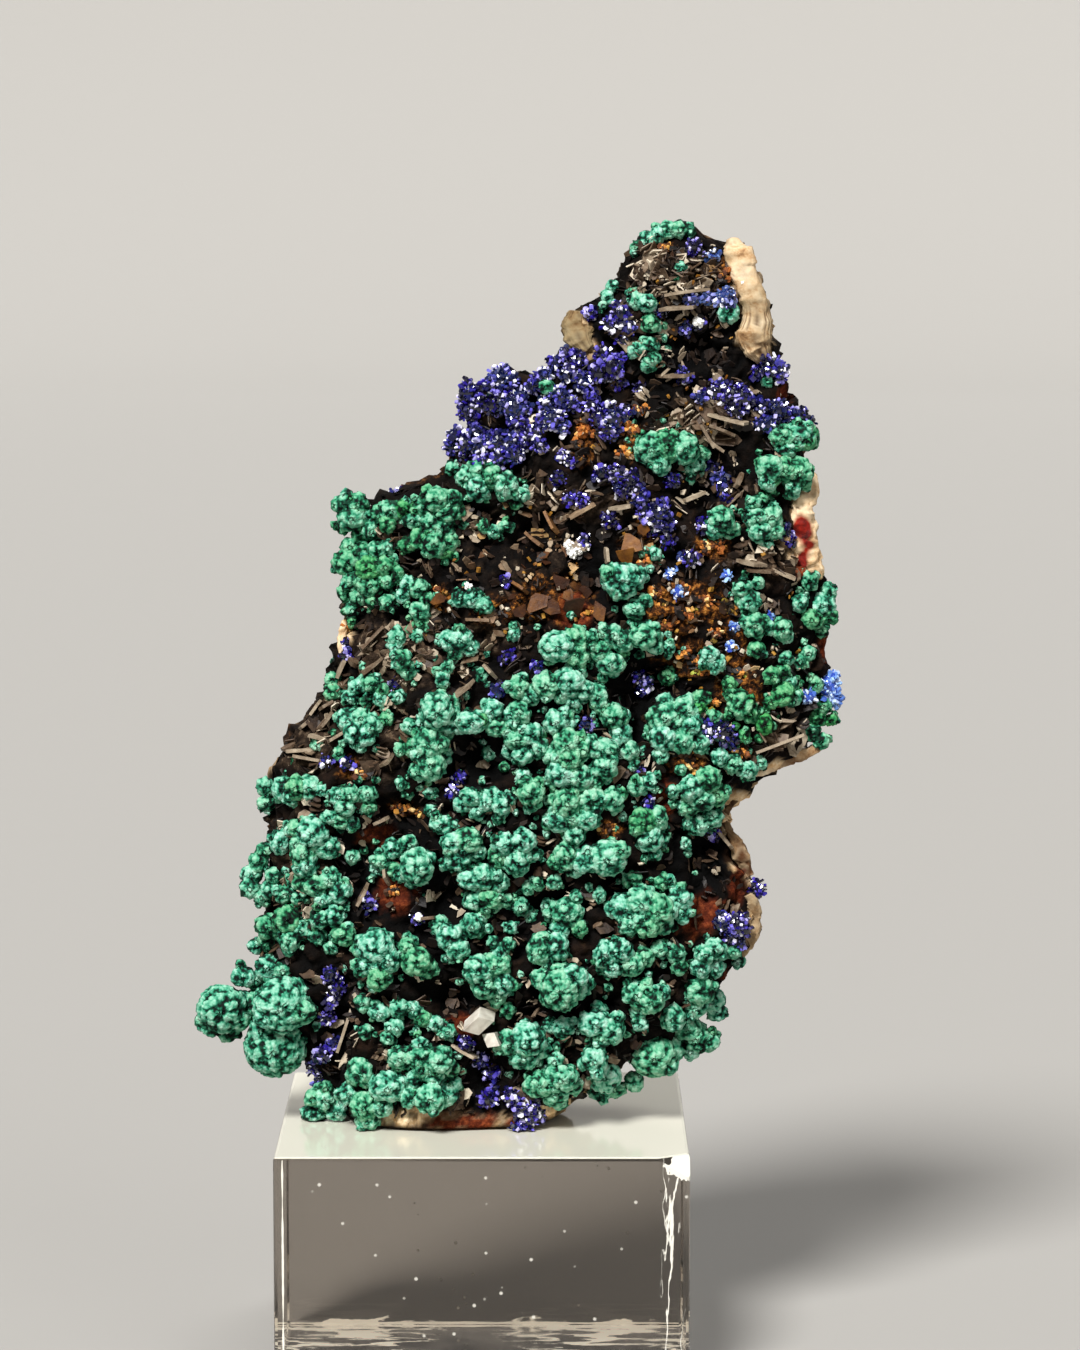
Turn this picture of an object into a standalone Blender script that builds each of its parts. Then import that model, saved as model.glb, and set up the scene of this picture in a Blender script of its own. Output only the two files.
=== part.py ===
"""Azurite and malachite on limonite, a display specimen standing on a clear block.

Metres, +Z up. The origin is the centre of the block's underside, the specimen's show face looks
along -Y. Sizes below are in millimetres and MM turns them into metres.
"""

import math
import random

import bmesh
import bpy
import numpy as np
from mathutils import Matrix, Vector

MM = 0.001
MERGE = 4e-6  # metres; points this close are one
GAP = 0.3  # clear space between neighbouring pieces

# Display block: clear acrylic, one and a half inches square, seven eighths high
BLOCK_SIDE = 38.1
BLOCK_HEIGHT = 22.2
BLOCK_EDGE = 0.35
CHIP_ALONG_FRONT, CHIP_ALONG_SIDE, CHIP_DOWN = 3.2, 2.0, 2.0

# Rock: sections from its foot to its crest, as height, left and right end, front and back depth
ROCK_FOOT = BLOCK_HEIGHT + GAP
ROCK_SECTIONS = np.array([
    (ROCK_FOOT, -13.0, 7.0, 9.5, 6.0),
    (27.5, -16.0, 13.0, 9.8, 8.0),
    (30.0, -18.0, 18.0, 9.8, 8.5),
    (33.0, -20.0, 21.0, 9.6, 9.0),
    (36.0, -21.0, 23.0, 9.5, 9.5),
    (40.0, -20.5, 25.7, 9.3, 10.0),
    (44.0, -20.5, 25.7, 9.2, 10.3),
    (48.0, -20.0, 23.8, 9.2, 10.5),
    (50.5, -20.2, 22.4, 9.2, 10.4),
    (53.0, -20.5, 24.0, 9.1, 10.2),
    (56.0, -19.5, 28.0, 9.0, 10.0),
    (58.5, -18.0, 31.0, 8.8, 9.8),
    (61.0, -15.8, 31.6, 8.6, 9.5),
    (65.0, -14.0, 32.0, 8.3, 9.1),
    (70.0, -12.6, 31.8, 8.0, 8.7),
    (73.0, -12.2, 31.6, 7.8, 8.4),
    (76.0, -11.6, 30.6, 7.5, 8.0),
    (79.0, -11.0, 30.6, 7.2, 7.6),
    (81.0, -9.5, 30.6, 7.0, 7.3),
    (82.7, -3.8, 30.4, 6.8, 7.0),
    (87.5, -1.5, 29.4, 6.3, 6.4),
    (90.0, -1.0, 28.4, 6.0, 6.1),
    (92.2, 0.6, 27.6, 5.7, 5.8),
    (93.6, 5.8, 27.3, 5.5, 5.6),
    (95.0, 8.4, 27.0, 5.3, 5.4),
    (98.0, 8.6, 26.5, 5.0, 5.1),
    (100.0, 12.0, 26.1, 4.7, 4.7),
    (102.5, 13.3, 25.2, 4.2, 4.2),
    (104.3, 14.3, 24.5, 3.6, 3.6),
    (105.2, 15.2, 20.8, 3.0, 3.0),
    (106.2, 16.4, 19.8, 1.8, 1.8),
])
CRUST = 1.2  # the balls and crystals stand this far in front of the rock, within its stated front depth
ROCK_ROUNDING = 2.7  # power of the rounded section: 2 is an ellipse, more is squarer
ROCK_FRONT_POINTS, ROCK_BACK_POINTS = 13, 6
BACK_BUMP, BACK_BUMP_LENGTH = 1.1, 13.0

# Hollows in the show face: x, z, half width, half height, depth
HOLLOWS = [
    (19.9, 95.0, 4.0, 3.0, 2.5), (13.9, 91.3, 2.5, 1.4, 1.8), (21.8, 84.0, 3.0, 3.5, 2.4),
    (4.2, 77.5, 8.0, 3.0, 2.4), (8.8, 73.5, 2.2, 2.2, 2.0), (15.8, 64.0, 4.5, 3.0, 3.4),
    (-0.5, 56.8, 3.0, 2.0, 3.0), (-6.7, 51.3, 3.0, 3.5, 2.5), (-11.0, 47.0, 2.5, 3.5, 3.0),
    (20.7, 46.8, 2.6, 3.2, 3.4), (-3.0, 43.8, 2.2, 2.5, 2.5), (12.6, 45.0, 2.0, 1.6, 2.0),
    (-14.0, 30.5, 1.7, 5.0, 3.5), (0.3, 27.0, 2.8, 3.5, 2.6), (-2.5, 34.5, 3.0, 2.0, 2.5),
    (5.3, 33.8, 2.5, 2.0, 2.0), (11.8, 34.0, 2.0, 1.6, 2.0), (14.5, 60.0, 1.5, 3.0, 2.4),
    (6.0, 43.0, 3.0, 2.0, 2.0),
]

# Limonite blades that stand out of the show face edge on: x, z, length, angle from level in degrees
BLADES = [
    (18.9, 100.3, 6.1, 8), (22.9, 88.6, 4.7, -12), (23.8, 83.0, 2.1, 63), (24.8, 75.4, 3.8, -11),
    (28.1, 74.2, 3.0, -21), (8.9, 80.2, 3.5, 29), (4.8, 77.4, 3.3, -38), (8.6, 77.0, 2.9, -18),
    (3.5, 73.2, 2.3, -36), (11.5, 76.0, 2.3, -85), (-10.2, 68.3, 3.4, 46), (-10.4, 65.7, 3.5, 36),
    (-1.7, 63.9, 3.1, 37), (27.6, 58.4, 5.7, 21), (-16.0, 57.0, 4.0, -10), (-9.0, 57.0, 2.3, 37),
    (-13.0, 31.4, 4.9, 72), (-1.8, 29.9, 3.5, -27), (-13.5, 59.2, 3.3, 31), (0.6, 65.6, 2.3, -48),
    (22.6, 49.2, 3.0, -50), (-0.3, 70.2, 2.6, -3), (17.8, 92.6, 4.0, 3), (19.6, 81.5, 3.0, 20),
]
BLADE_THICKNESS = 0.7
BLADE_OUT, BLADE_IN = 1.3, 2.2  # reach in front of the face and behind it

# Malachite: botryoidal balls in groups that have grown together, as x, z and radius
MALACHITE = {
    "malachite_crest": [
        (15.1, 105, 1), (16.6, 105.7, 1.1), (18.5, 106, 1),
    ],
    "malachite_upper_rib": [
        (14.7, 99.3, 1), (15.6, 97.3, 0.8), (15.1, 95, 1.1), (15.5, 93.5, 0.8), (11.6, 99.7, 0.7),
        (12.4, 100.9, 0.6),
    ],
    "malachite_upper_center": [
        (15.5, 85.8, 1.3), (17.3, 86, 1.3), (19.4, 85.4, 1.2), (19.2, 84.1, 0.8),
    ],
    "malachite_upper_right": [
        (28.3, 86.9, 1.4), (29.8, 86.5, 0.9), (26.8, 84, 1.2), (28.8, 83.5, 1.3), (29.1, 82.3, 0.8),
        (28.2, 85.4, 0.9),
    ],
    "malachite_right_buttons": [
        (25.6, 80.7, 0.8), (25.4, 79.6, 1), (26.8, 79.5, 1), (26.1, 78.3, 1.2),
    ],
    "malachite_right_bead": [
        (22, 78.8, 1.3),
    ],
    "malachite_spur_foot": [
        (0.2, 83.4, 1.3), (2.1, 82.5, 1.1), (-1.3, 83, 0.9), (0.4, 82, 0.9), (3.5, 81.6, 0.7),
    ],
    "malachite_left_shoulder": [
        (-12.2, 80.2, 1.3), (-9.5, 79.8, 1.1), (-7.6, 80, 1.2), (-10.9, 78.4, 1.1), (-8.9, 78.7, 0.8),
        (-4.6, 80.9, 1.3), (-3, 80.6, 1.1), (-6, 79.8, 0.9), (-4.6, 78.6, 1.3), (-5.8, 77.3, 1.1),
        (-3.5, 77, 1), (-7.3, 77, 0.7),
        (-12.4, 75.3, 1.3), (-10.3, 75.9, 1.3), (-8.8, 76.3, 0.8), (-10.3, 73.7, 1.4),
        (-11.9, 72.4, 1.1), (-8.3, 73.5, 1.1), (-6.6, 72.9, 1.1), (-8.9, 71.8, 1.1), (-5.6, 70.9, 1),
        (-12.1, 70.5, 0.7),
    ],
    "malachite_left_beads": [
        (-7.9, 68, 1), (-7.2, 65.9, 1.1),
    ],
    "malachite_center_bead": [
        (-1.3, 72, 1.1), (-0, 71.6, 0.8),
    ],
    "malachite_center_pair": [
        (-2.4, 68.3, 1.2), (-1.1, 67.7, 0.8), (-3.5, 65.3, 0.8), (-3.4, 66.6, 0.8),
    ],
    "malachite_mid_upper": [
        (13, 74, 1.6), (14.4, 71.7, 1), (14.2, 70, 0.7), (15.2, 68.5, 1.3), (16.6, 67.7, 0.8),
    ],
    "malachite_middle": [
        (7, 67.8, 1.3), (8.7, 68.1, 1.3), (10.7, 68, 1.2), (11.6, 66.1, 1.1), (12.4, 68.3, 1),
        (10.9, 64.6, 0.9), (3.7, 63.8, 1.2), (6, 64.2, 1.3), (8.1, 64.3, 1.4), (9.5, 63.5, 1),
        (11, 62.4, 1.1), (12.3, 60.8, 1.2), (13.1, 59, 1.2), (13.9, 57, 0.7),
    ],
    "malachite_center_left": [
        (-4.3, 61.8, 1.6), (-6.1, 60.3, 1), (-5, 58.5, 1.6), (-5, 56.5, 1.4), (-6.9, 58.3, 0.8),
        (-3.1, 60.4, 0.8), (-1.3, 60.7, 1.3), (0.9, 61.3, 1.2), (3.4, 61.5, 1.2), (3.5, 59, 1.3),
        (5, 59.1, 1.2), (1.9, 59.7, 0.8), (4.1, 57.7, 0.8), (6.5, 60.8, 1.2), (8.1, 60.5, 0.7),
    ],
    "malachite_column": [
        (7.7, 58.6, 1.5), (10.2, 58.4, 1.3), (11.3, 56.8, 1.1), (7.7, 56.4, 1.5), (9.6, 55, 1.2),
        (7.7, 53.5, 1.4), (9.9, 53.5, 1.3), (12, 53.6, 1.1), (8.2, 51.6, 1.4), (10, 51.8, 1.1),
        (8.5, 50, 1.1), (7.9, 48.2, 1.5), (9.6, 47.6, 1.1), (11.5, 48.2, 1.6), (4.4, 54.4, 1.4),
        (3.9, 55.8, 0.8),
    ],
    "malachite_ring": [
        (-1.3, 53.3, 1.1), (0.2, 53.9, 1.1), (1.8, 53.4, 1), (1.3, 52.1, 0.8), (-0.5, 52.7, 0.8),
    ],
    "malachite_center_low": [
        (-4.1, 51.5, 1.2), (-2.8, 51, 0.9), (-2.5, 49.5, 1.4), (-1, 49.3, 1.2), (-2.3, 47.8, 1),
        (-0.4, 46.2, 1.4), (1.4, 46, 0.9), (-0, 44.2, 1.2), (1.6, 44.4, 1), (-0.9, 41.9, 1.1),
        (-3.5, 41.3, 1), (-2.8, 40.3, 1.3), (-1.1, 47.7, 0.9), (2.3, 49.2, 1.4), (3.7, 48.4, 1.3),
        (1.6, 48.1, 0.9),
    ],
    "malachite_low_left_center": [
        (-8.1, 48.9, 1), (-9.6, 46.9, 1.1), (-6.1, 47.5, 1.6), (-7.7, 46.8, 0.9), (-6.9, 48.9, 0.8),
    ],
    "malachite_lower_left_center": [
        (-10, 39.6, 1.6), (-8.8, 38.2, 1.5), (-6.7, 39.4, 1.1), (-6, 38.1, 1.3),
    ],
    "malachite_lower_center": [
        (0, 37.8, 1.7), (1.6, 36.4, 1.4), (-0.1, 36, 1.1), (1.9, 34.6, 0.8),
    ],
    "malachite_lower_knobs": [
        (6.7, 42.8, 1.2), (8.1, 42.3, 1.3), (9, 41.4, 0.8), (5.8, 40, 1.3), (7, 39.6, 1.2),
        (7.4, 41.4, 0.9), (7.4, 36.3, 2.2),
    ],
    "malachite_lower_right": [
        (11.8, 39, 1.3), (13.5, 38.7, 1.4), (15.4, 38.8, 1.1), (17.2, 39.2, 1.1), (13.2, 43.1, 1.5),
        (15.1, 43.2, 1.7), (16.7, 43.3, 1.4), (18.3, 43.6, 1.1), (16.8, 45.1, 1), (15.1, 41.9, 1.3),
        (13.9, 45.8, 0.8), (18.4, 38, 0.8),
    ],
    "malachite_right_center": [
        (15.3, 51.5, 1.3), (16.1, 49.7, 1.2), (15.2, 48.6, 0.7), (14.9, 55, 1.1),
    ],
    "malachite_right_block": [
        (17.1, 61, 1.6), (18.7, 61, 1.4), (17.5, 59.2, 1.5), (19.2, 59.2, 1.3), (16.6, 57.6, 0.8),
    ],
    "malachite_right_low": [
        (20.2, 54.9, 1.5), (21.7, 54, 0.9), (20, 52.8, 1.4), (21.5, 51.6, 1.1), (19.9, 50.9, 1.1),
        (22.7, 56.9, 1.1), (24.4, 56.2, 1), (25.6, 56.5, 0.7), (21.3, 56, 0.8),
    ],
    "malachite_field_upper": [
        (24.7, 71.7, 1.1), (24, 73, 0.8), (25.9, 69.5, 1.2), (27.8, 69.1, 1), (26.7, 70.9, 0.8),
    ],
    "malachite_field_edge": [
        (30.6, 73.3, 1), (31.9, 70.9, 1.3), (29.5, 71.5, 0.8), (30.6, 69.7, 0.9), (32, 72, 0.8),
    ],
    "malachite_field_lower": [
        (23.9, 62.1, 1.2), (23, 63.7, 0.8), (25.7, 60.7, 1), (24.8, 59.7, 0.8),
    ],
    "malachite_field_right": [
        (27.9, 62.9, 1), (27.1, 65, 0.9), (28.3, 64.2, 0.7),
    ],
    "malachite_edge_low": [
        (32.1, 60.8, 0.9), (31.7, 59.1, 0.8), (31.6, 58, 0.7),
    ],
    "malachite_left_middle": [
        (-13.5, 63.5, 1), (-11.4, 63.5, 1.1), (-9.7, 63.4, 1), (-10.8, 62.3, 0.8), (-12.3, 60.6, 1.1),
        (-10.4, 60.7, 1.2), (-11.5, 59.3, 1.1), (-8.9, 60.7, 0.7),
    ],
    "malachite_left_edge": [
        (-20, 53.7, 0.9), (-18.2, 53.8, 1.1), (-16.5, 54.2, 1.1), (-15.1, 54.2, 0.7),
    ],
    "malachite_left_low": [
        (-12.7, 53.5, 1.2), (-10.8, 53.7, 1), (-13.6, 51.6, 1), (-18.7, 49.3, 1.2), (-16.5, 50.4, 1.3),
        (-14.9, 48.7, 1.1), (-16.7, 48.2, 1.3), (-20.7, 47.9, 0.9), (-21.5, 45.3, 1),
        (-19.9, 44.9, 1.1), (-17, 45.3, 1.3), (-15.3, 45.2, 1.1), (-13.6, 45.2, 1.2),
        (-20.8, 43.6, 0.8), (-18.5, 46.7, 0.8),
    ],
    "malachite_left_lower": [
        (-20, 40.8, 1.4), (-18.1, 41.3, 1.4), (-18.6, 39.7, 1.2), (-16.3, 41.1, 0.8),
        (-14.7, 41.7, 1.4), (-13, 40.8, 1.1), (-20.8, 39, 0.8), (-20.6, 37, 1), (-19.4, 36.7, 0.8),
        (-22.9, 35.3, 1.1), (-21.8, 36.1, 0.8), (-25.5, 33.4, 1.4), (-25.2, 31.5, 1.6),
        (-23.7, 32.5, 1.3), (-19.9, 33.5, 1.4), (-17.7, 34, 1.6), (-19.2, 32.1, 1.3),
        (-17.8, 36.5, 1.1), (-20.1, 29.4, 2.5), (-22, 32.8, 0.8),
    ],
    "malachite_recess": [
        (-10.8, 34.2, 1.2), (-9.1, 33.9, 1.2), (-7.3, 34, 1.2), (-10.7, 31.7, 1.1), (-8.6, 32.2, 0.9),
        (-6.1, 33.4, 0.8), (-4.9, 33.2, 0.9), (-4, 32, 0.8),
    ],
    "malachite_foot": [
        (-15.2, 24, 1.5), (-15.8, 22.1, 1), (-13.5, 23.6, 1.2), (-11.4, 27.3, 1.4), (-11.5, 24.4, 1.3),
        (-9.1, 26.3, 1.6), (-8.8, 24.5, 1.1), (-7.5, 29.4, 1.2), (-5.3, 29.5, 1.6), (-3.5, 28.8, 1.3),
        (-5.8, 27.1, 1.2), (-4.7, 25.7, 1.3), (-6.9, 25.4, 1.2),
    ],
    "malachite_foot_right": [
        (2.7, 30.5, 1.5), (4.4, 31.1, 1.5), (4.1, 29.4, 1.3), (6.2, 30.5, 1), (7.4, 31.9, 1.1),
        (5.6, 27, 1.5), (7.4, 27.1, 1.5), (6.7, 25.4, 1.1), (6.1, 28.8, 0.9),
    ],
    "malachite_right_foot": [
        (10.9, 32.7, 1.5), (12.2, 31.6, 1.4), (10.7, 30.7, 1.3), (10.7, 28.6, 1.4), (11.9, 26.2, 1.5),
        (11, 25.2, 1.1), (14.2, 25.8, 0.8), (13.1, 25.6, 0.9),
    ],
    "malachite_right_corner": [
        (16.1, 28.8, 1.9), (14.6, 35.3, 1.3), (16.1, 34.9, 1.2), (14.8, 33, 0.9), (17.7, 32.7, 1.1),
        (19.5, 30.8, 1.6), (21.2, 30, 1), (19.5, 29, 0.9), (21.2, 38.8, 1.3), (23.4, 38.4, 0.9),
        (20.7, 37.1, 1.3), (20.8, 34.7, 1.7), (20.7, 32.6, 1.1), (18, 30.6, 0.8),
    ],
}
MALACHITE_RISE = 0.95  # share of its radius by which a ball's middle stands in front of the rock
MALACHITE_SWELL = 1.26  # balls run into each other, so each is a little larger than it looks
ROUND_BALL_FROM = 1.35  # balls of this radius and up are rounder
WELL_JOINED = 0.35  # balls that overlap by this share of the smaller radius need no bar between them
MOST_ATTEMPTS, SEED_STEP, MOST_FACES_EACH = 8, 100, 26
BALL_FACES, CRYSTAL_FACES = 9, 8  # facets kept for each ball and each crystal

# Azurite: clusters of blocky crystals, as x, z and half size
AZURITE = {
    "azurite_left_spur": [
        (1.6, 91.9, 1.3), (-1.2, 90.8, 1.1), (0.4, 90.9, 1.1), (1.3, 89.7, 1.2), (2.9, 89.5, 1.2),
        (3.5, 88.2, 0.9), (-0.4, 89.3, 1), (-1.1, 87.5, 1), (0.8, 86.6, 1.2), (-1.6, 85.9, 1.1),
        (2.4, 86.6, 1), (3.1, 85.3, 1), (0.4, 85.1, 1), (-2.8, 86.5, 0.8), (1.6, 88.1, 0.9),
    ],
    "azurite_upper_left": [
        (8.6, 93.7, 1.2), (7.7, 92.5, 0.8), (11.3, 94.2, 1), (10.9, 92.7, 1.1), (9.6, 91.2, 1.1),
        (7.2, 90.6, 1.1), (6.6, 88.7, 1.2), (5.1, 87.6, 0.9), (12.5, 91.9, 0.7), (9.9, 89.8, 0.8),
        (8.4, 89.9, 0.9),
    ],
    "azurite_upper_middle": [
        (11, 88.2, 1.2), (12.4, 88.4, 1.1), (11.6, 87.2, 1),
    ],
    "azurite_knob_left": [
        (10, 98.2, 0.7), (11.2, 97.8, 0.8), (12.5, 97.9, 1), (13.3, 96.7, 1), (11.9, 96.9, 0.8),
        (13.2, 95.7, 0.7),
    ],
    "azurite_knob": [
        (19.3, 99.7, 0.7), (20.7, 99.8, 0.7), (22.1, 99.7, 0.9), (23.1, 99.5, 0.7),
    ],
    "azurite_shaft": [
        (19, 97, 0.8), (20, 97.3, 0.6),
    ],
    "azurite_middle": [
        (11.2, 83.5, 0.9), (12.5, 83.2, 1.1), (13.8, 82.5, 1), (13.2, 81.7, 0.8), (14.6, 81.3, 0.9),
        (15.3, 80.2, 1), (16.6, 80, 1.2), (17.1, 78.8, 0.8), (15.8, 78.8, 0.8), (16.9, 77.6, 0.7),
    ],
    "azurite_upper_right": [
        (21.6, 91, 1), (22.9, 90.7, 1.3), (24.3, 90.4, 1), (23.3, 89.6, 0.9), (25.9, 89.6, 0.9),
        (27.3, 89.3, 1.1), (28.5, 88.5, 1.1), (26.4, 88.2, 0.8), (29.9, 88.1, 0.7), (25.2, 89.8, 0.7),
        (26.6, 93.3, 1.3), (25.4, 92.8, 0.7),
    ],
    "azurite_right_bar": [
        (21.3, 83.9, 0.8), (22, 83, 0.8), (22.3, 82, 0.7),
    ],
    "azurite_blue_spot": [
        (18, 72.7, 0.9), (17.5, 73.8, 0.7),
    ],
    "azurite_right_pocket": [
        (21.1, 60.2, 0.8), (22.2, 59.6, 1.1), (23.2, 58.9, 0.7),
    ],
    "azurite_lower_right": [
        (22.2, 41.3, 1.1), (23.6, 41.5, 1.3), (24.5, 40.3, 0.9), (23, 40, 1),
    ],
    "azurite_lower_right_tip": [
        (25.7, 44.2, 0.8),
    ],
    "azurite_left_crevice_low": [
        (-16.1, 28.7, 0.8), (-15.3, 28.2, 0.8), (-16.1, 27.1, 0.8), (-15.3, 26.3, 0.8),
    ],
    "azurite_foot": [
        (0.4, 25.2, 0.9), (1.4, 25.8, 0.8), (2.6, 25.4, 1), (3.8, 24.7, 1), (4.4, 23.3, 1.1),
        (3.3, 22.4, 0.8), (5.4, 23.8, 0.8),
    ],
    "azurite_edge": [
        (32.3, 63.5, 1.1), (32.9, 62.2, 0.8), (30.6, 62.6, 0.7), (31.6, 62.5, 0.7),
    ],
}
AZURITE_RISE = 0.8
AZURITE_STRETCH = 1.25

# Two calcite rhombs in the lower hollow: x, y, z, edge, and turns about X, Y and Z in degrees
CALCITE = [(-0.3, -9.6, 33.0, 1.9, 20, 38, 30), (0.9, -9.4, 31.2, 1.5, -25, 15, 60)]
CALCITE_SLANT = 0.26

COLOURS = {  # linear colour and roughness
    "acrylic": ((0.80, 0.80, 0.78), 0.08),
    "limonite": ((0.06, 0.035, 0.02), 0.8),
    "malachite": ((0.07, 0.42, 0.27), 0.6),
    "azurite": ((0.025, 0.012, 0.30), 0.3),
    "calcite": ((0.75, 0.72, 0.66), 0.35),
}


def clear_scene():
    for old in list(bpy.data.objects):
        bpy.data.objects.remove(old, do_unlink=True)


def material(name):
    found = bpy.data.materials.get(name)
    if found:
        return found
    colour, roughness = COLOURS[name]
    made = bpy.data.materials.new(name)
    made.use_nodes = True
    shader = made.node_tree.nodes["Principled BSDF"]
    shader.inputs["Base Color"].default_value = (*colour, 1.0)
    shader.inputs["Roughness"].default_value = roughness
    shader.inputs["Metallic"].default_value = 0.0
    if name == "acrylic":
        shader.inputs["Transmission Weight"].default_value = 1.0
        shader.inputs["IOR"].default_value = 1.49
    return made


def object_from(bm, name, slot):
    """Turns a bmesh in millimetres into a named object in metres."""
    bmesh.ops.scale(bm, vec=(MM, MM, MM), verts=bm.verts)
    mesh = bpy.data.meshes.new(name)
    bm.to_mesh(mesh)
    bm.free()
    mesh.materials.append(material(slot))
    made = bpy.data.objects.new(name, mesh)
    bpy.context.scene.collection.objects.link(made)
    return made


def rock_section(z):
    return [float(np.interp(z, ROCK_SECTIONS[:, 0], ROCK_SECTIONS[:, k])) for k in range(1, 5)]


def rounded(share):
    """Depth of the rounded section at a share of its half width, 1 in the middle and 0 at its ends."""
    return max(0.0, 1.0 - abs(share) ** ROCK_ROUNDING) ** (1.0 / ROCK_ROUNDING)


def rock_front(x, z):
    """Y of the show face at a place: the rounded section with the hollows sunk into it."""
    left, right, front, _ = rock_section(z)
    share = (2 * x - left - right) / (right - left)
    share = max(-0.985, min(0.985, share))
    y = (CRUST - front) * rounded(share)
    for px, pz, half_width, half_height, depth in HOLLOWS:
        fall = math.exp(-(((x - px) / half_width) ** 2) - ((z - pz) / half_height) ** 2)
        y += depth * fall * (1 - share**4)
    return y


def rock_ring(z, grow):
    """One section of the rock, front from left to right and back from right to left."""
    left, right, _, back = rock_section(z)
    middle, half = (left + right) / 2, (right - left) / 2
    ring = []
    for k in range(ROCK_FRONT_POINTS):
        share = -math.cos(math.pi * k / (ROCK_FRONT_POINTS - 1))
        x = middle + half * share
        y = 0.0 if abs(share) > 0.999 else rock_front(x, z) - grow
        ring.append((middle + (half + grow) * share, y, z))
    for k in range(1, ROCK_BACK_POINTS + 1):
        share = math.cos(math.pi * k / (ROCK_BACK_POINTS + 1))
        x = middle + half * share
        wave = math.sin(x * math.tau / BACK_BUMP_LENGTH)
        wave *= math.cos(z * math.tau / (0.8 * BACK_BUMP_LENGTH))
        y = (back + BACK_BUMP * wave * (1 - share**4)) * rounded(share) + grow
        ring.append((middle + (half + grow) * share, y, z))
    return ring


def add_rock_body(bm, grow=0.0):
    """Lofts the sections into one closed body."""
    rings = []
    for z in ROCK_SECTIONS[:, 0]:
        height = z
        if z == ROCK_SECTIONS[0, 0]:
            height -= grow
        if z == ROCK_SECTIONS[-1, 0]:
            height += grow
        rings.append([bm.verts.new((x, y, height)) for x, y, _ in rock_ring(z, grow)])
    for low, high in zip(rings, rings[1:]):
        for k in range(len(low)):
            after = (k + 1) % len(low)
            bm.faces.new((low[k], low[after], high[after]))
            bm.faces.new((low[k], high[after], high[k]))
    bm.faces.new(rings[0][::-1])
    bm.faces.new(rings[-1])


def add_blades(bm, grow=0.0):
    for x, z, length, tilt in BLADES:
        depth = BLADE_OUT + BLADE_IN + 2 * grow
        y = rock_front(x, z) + (BLADE_IN - BLADE_OUT) / 2
        place = Matrix.Translation((x, y, z)) @ Matrix.Rotation(math.radians(-tilt), 4, "Y")
        size = Matrix.Diagonal((length + 2 * grow, depth, BLADE_THICKNESS + 2 * grow, 1.0))
        bmesh.ops.create_cube(bm, size=1.0, matrix=place @ size)


def add_ball(bm, centre, radius, seed, stretch=1.0):
    """A faceted ball: 80 uneven faces if it is large, 20 if it is small or a crystal."""
    rng = random.Random(seed)
    round_one = stretch == 1.0 and radius >= ROUND_BALL_FROM
    axis = Vector((rng.uniform(-1, 1), rng.uniform(-1, 1), 1))
    turn = Matrix.Rotation(rng.uniform(0, math.tau), 4, axis)
    pull = Matrix.Diagonal((stretch, 1.0, 1.0 / stretch, 1.0))
    place = Matrix.Translation(centre) @ turn @ pull
    levels = 2 if round_one else 1
    made = bmesh.ops.create_icosphere(bm, subdivisions=levels, radius=radius, matrix=place)
    if round_one:
        for vert in made["verts"]:
            vert.co = Vector(centre) + (vert.co - Vector(centre)) * rng.uniform(0.93, 1.07)


def add_neck(bm, start, end, radius):
    """A short four-sided bar that joins two balls under their surface."""
    run = end - start
    turn = run.to_track_quat("Z", "Y").to_matrix().to_4x4()
    place = Matrix.Translation((start + end) / 2) @ turn @ Matrix.Rotation(0.3, 4, "Z")
    bmesh.ops.create_cone(
        bm, cap_ends=True, segments=4, radius1=radius, radius2=radius, depth=run.length, matrix=place
    )


def add_necks(bm, balls):
    """Bars join each ball to the nearest one that is already joined, where the two hardly meet."""
    joined, waiting = [balls[0]], list(balls[1:])
    while waiting:
        near, new = min(
            ((a, b) for a in joined for b in waiting),
            key=lambda pair: (pair[0][0] - pair[1][0]).length - pair[0][1] - pair[1][1],
        )
        if (near[0] - new[0]).length > near[1] + new[1] - WELL_JOINED * min(near[1], new[1]):
            add_neck(bm, near[0], new[0], 0.55 * min(near[1], new[1]))
        joined.append(new)
        waiting.remove(new)


def placed(spots, rise, swell):
    """Turns (x, z, radius) into a centre on the show face and a radius."""
    balls = []
    for x, z, radius in spots:
        left, right, _, _ = rock_section(z)
        y = rock_front(min(max(x, left), right), z) - rise * radius
        balls.append((Vector((x, y, max(z, ROCK_FOOT + 0.3 * radius))), radius * swell))
    return balls


def evaluated_bmesh(shape):
    """The shape as its modifiers leave it, which are then removed."""
    bpy.context.view_layer.update()
    evaluated = shape.evaluated_get(bpy.context.evaluated_depsgraph_get())
    bm = bmesh.new()
    bm.from_mesh(evaluated.to_mesh())
    evaluated.to_mesh_clear()
    shape.modifiers.clear()
    return bm


def boolean_of(shape, other, operation):
    """The shape, its own overlaps merged, joined with another or cut by it."""
    step = shape.modifiers.new("boolean", "BOOLEAN")
    step.operation = operation
    step.solver = "EXACT"
    step.use_self = True
    step.object = other
    return evaluated_bmesh(shape)


def volume_of(faces):
    total = 0.0
    for face in faces:
        first = face.verts[0].co
        for k in range(1, len(face.verts) - 1):
            total += first.dot(face.verts[k].co.cross(face.verts[k + 1].co))
    return total / 6


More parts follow.
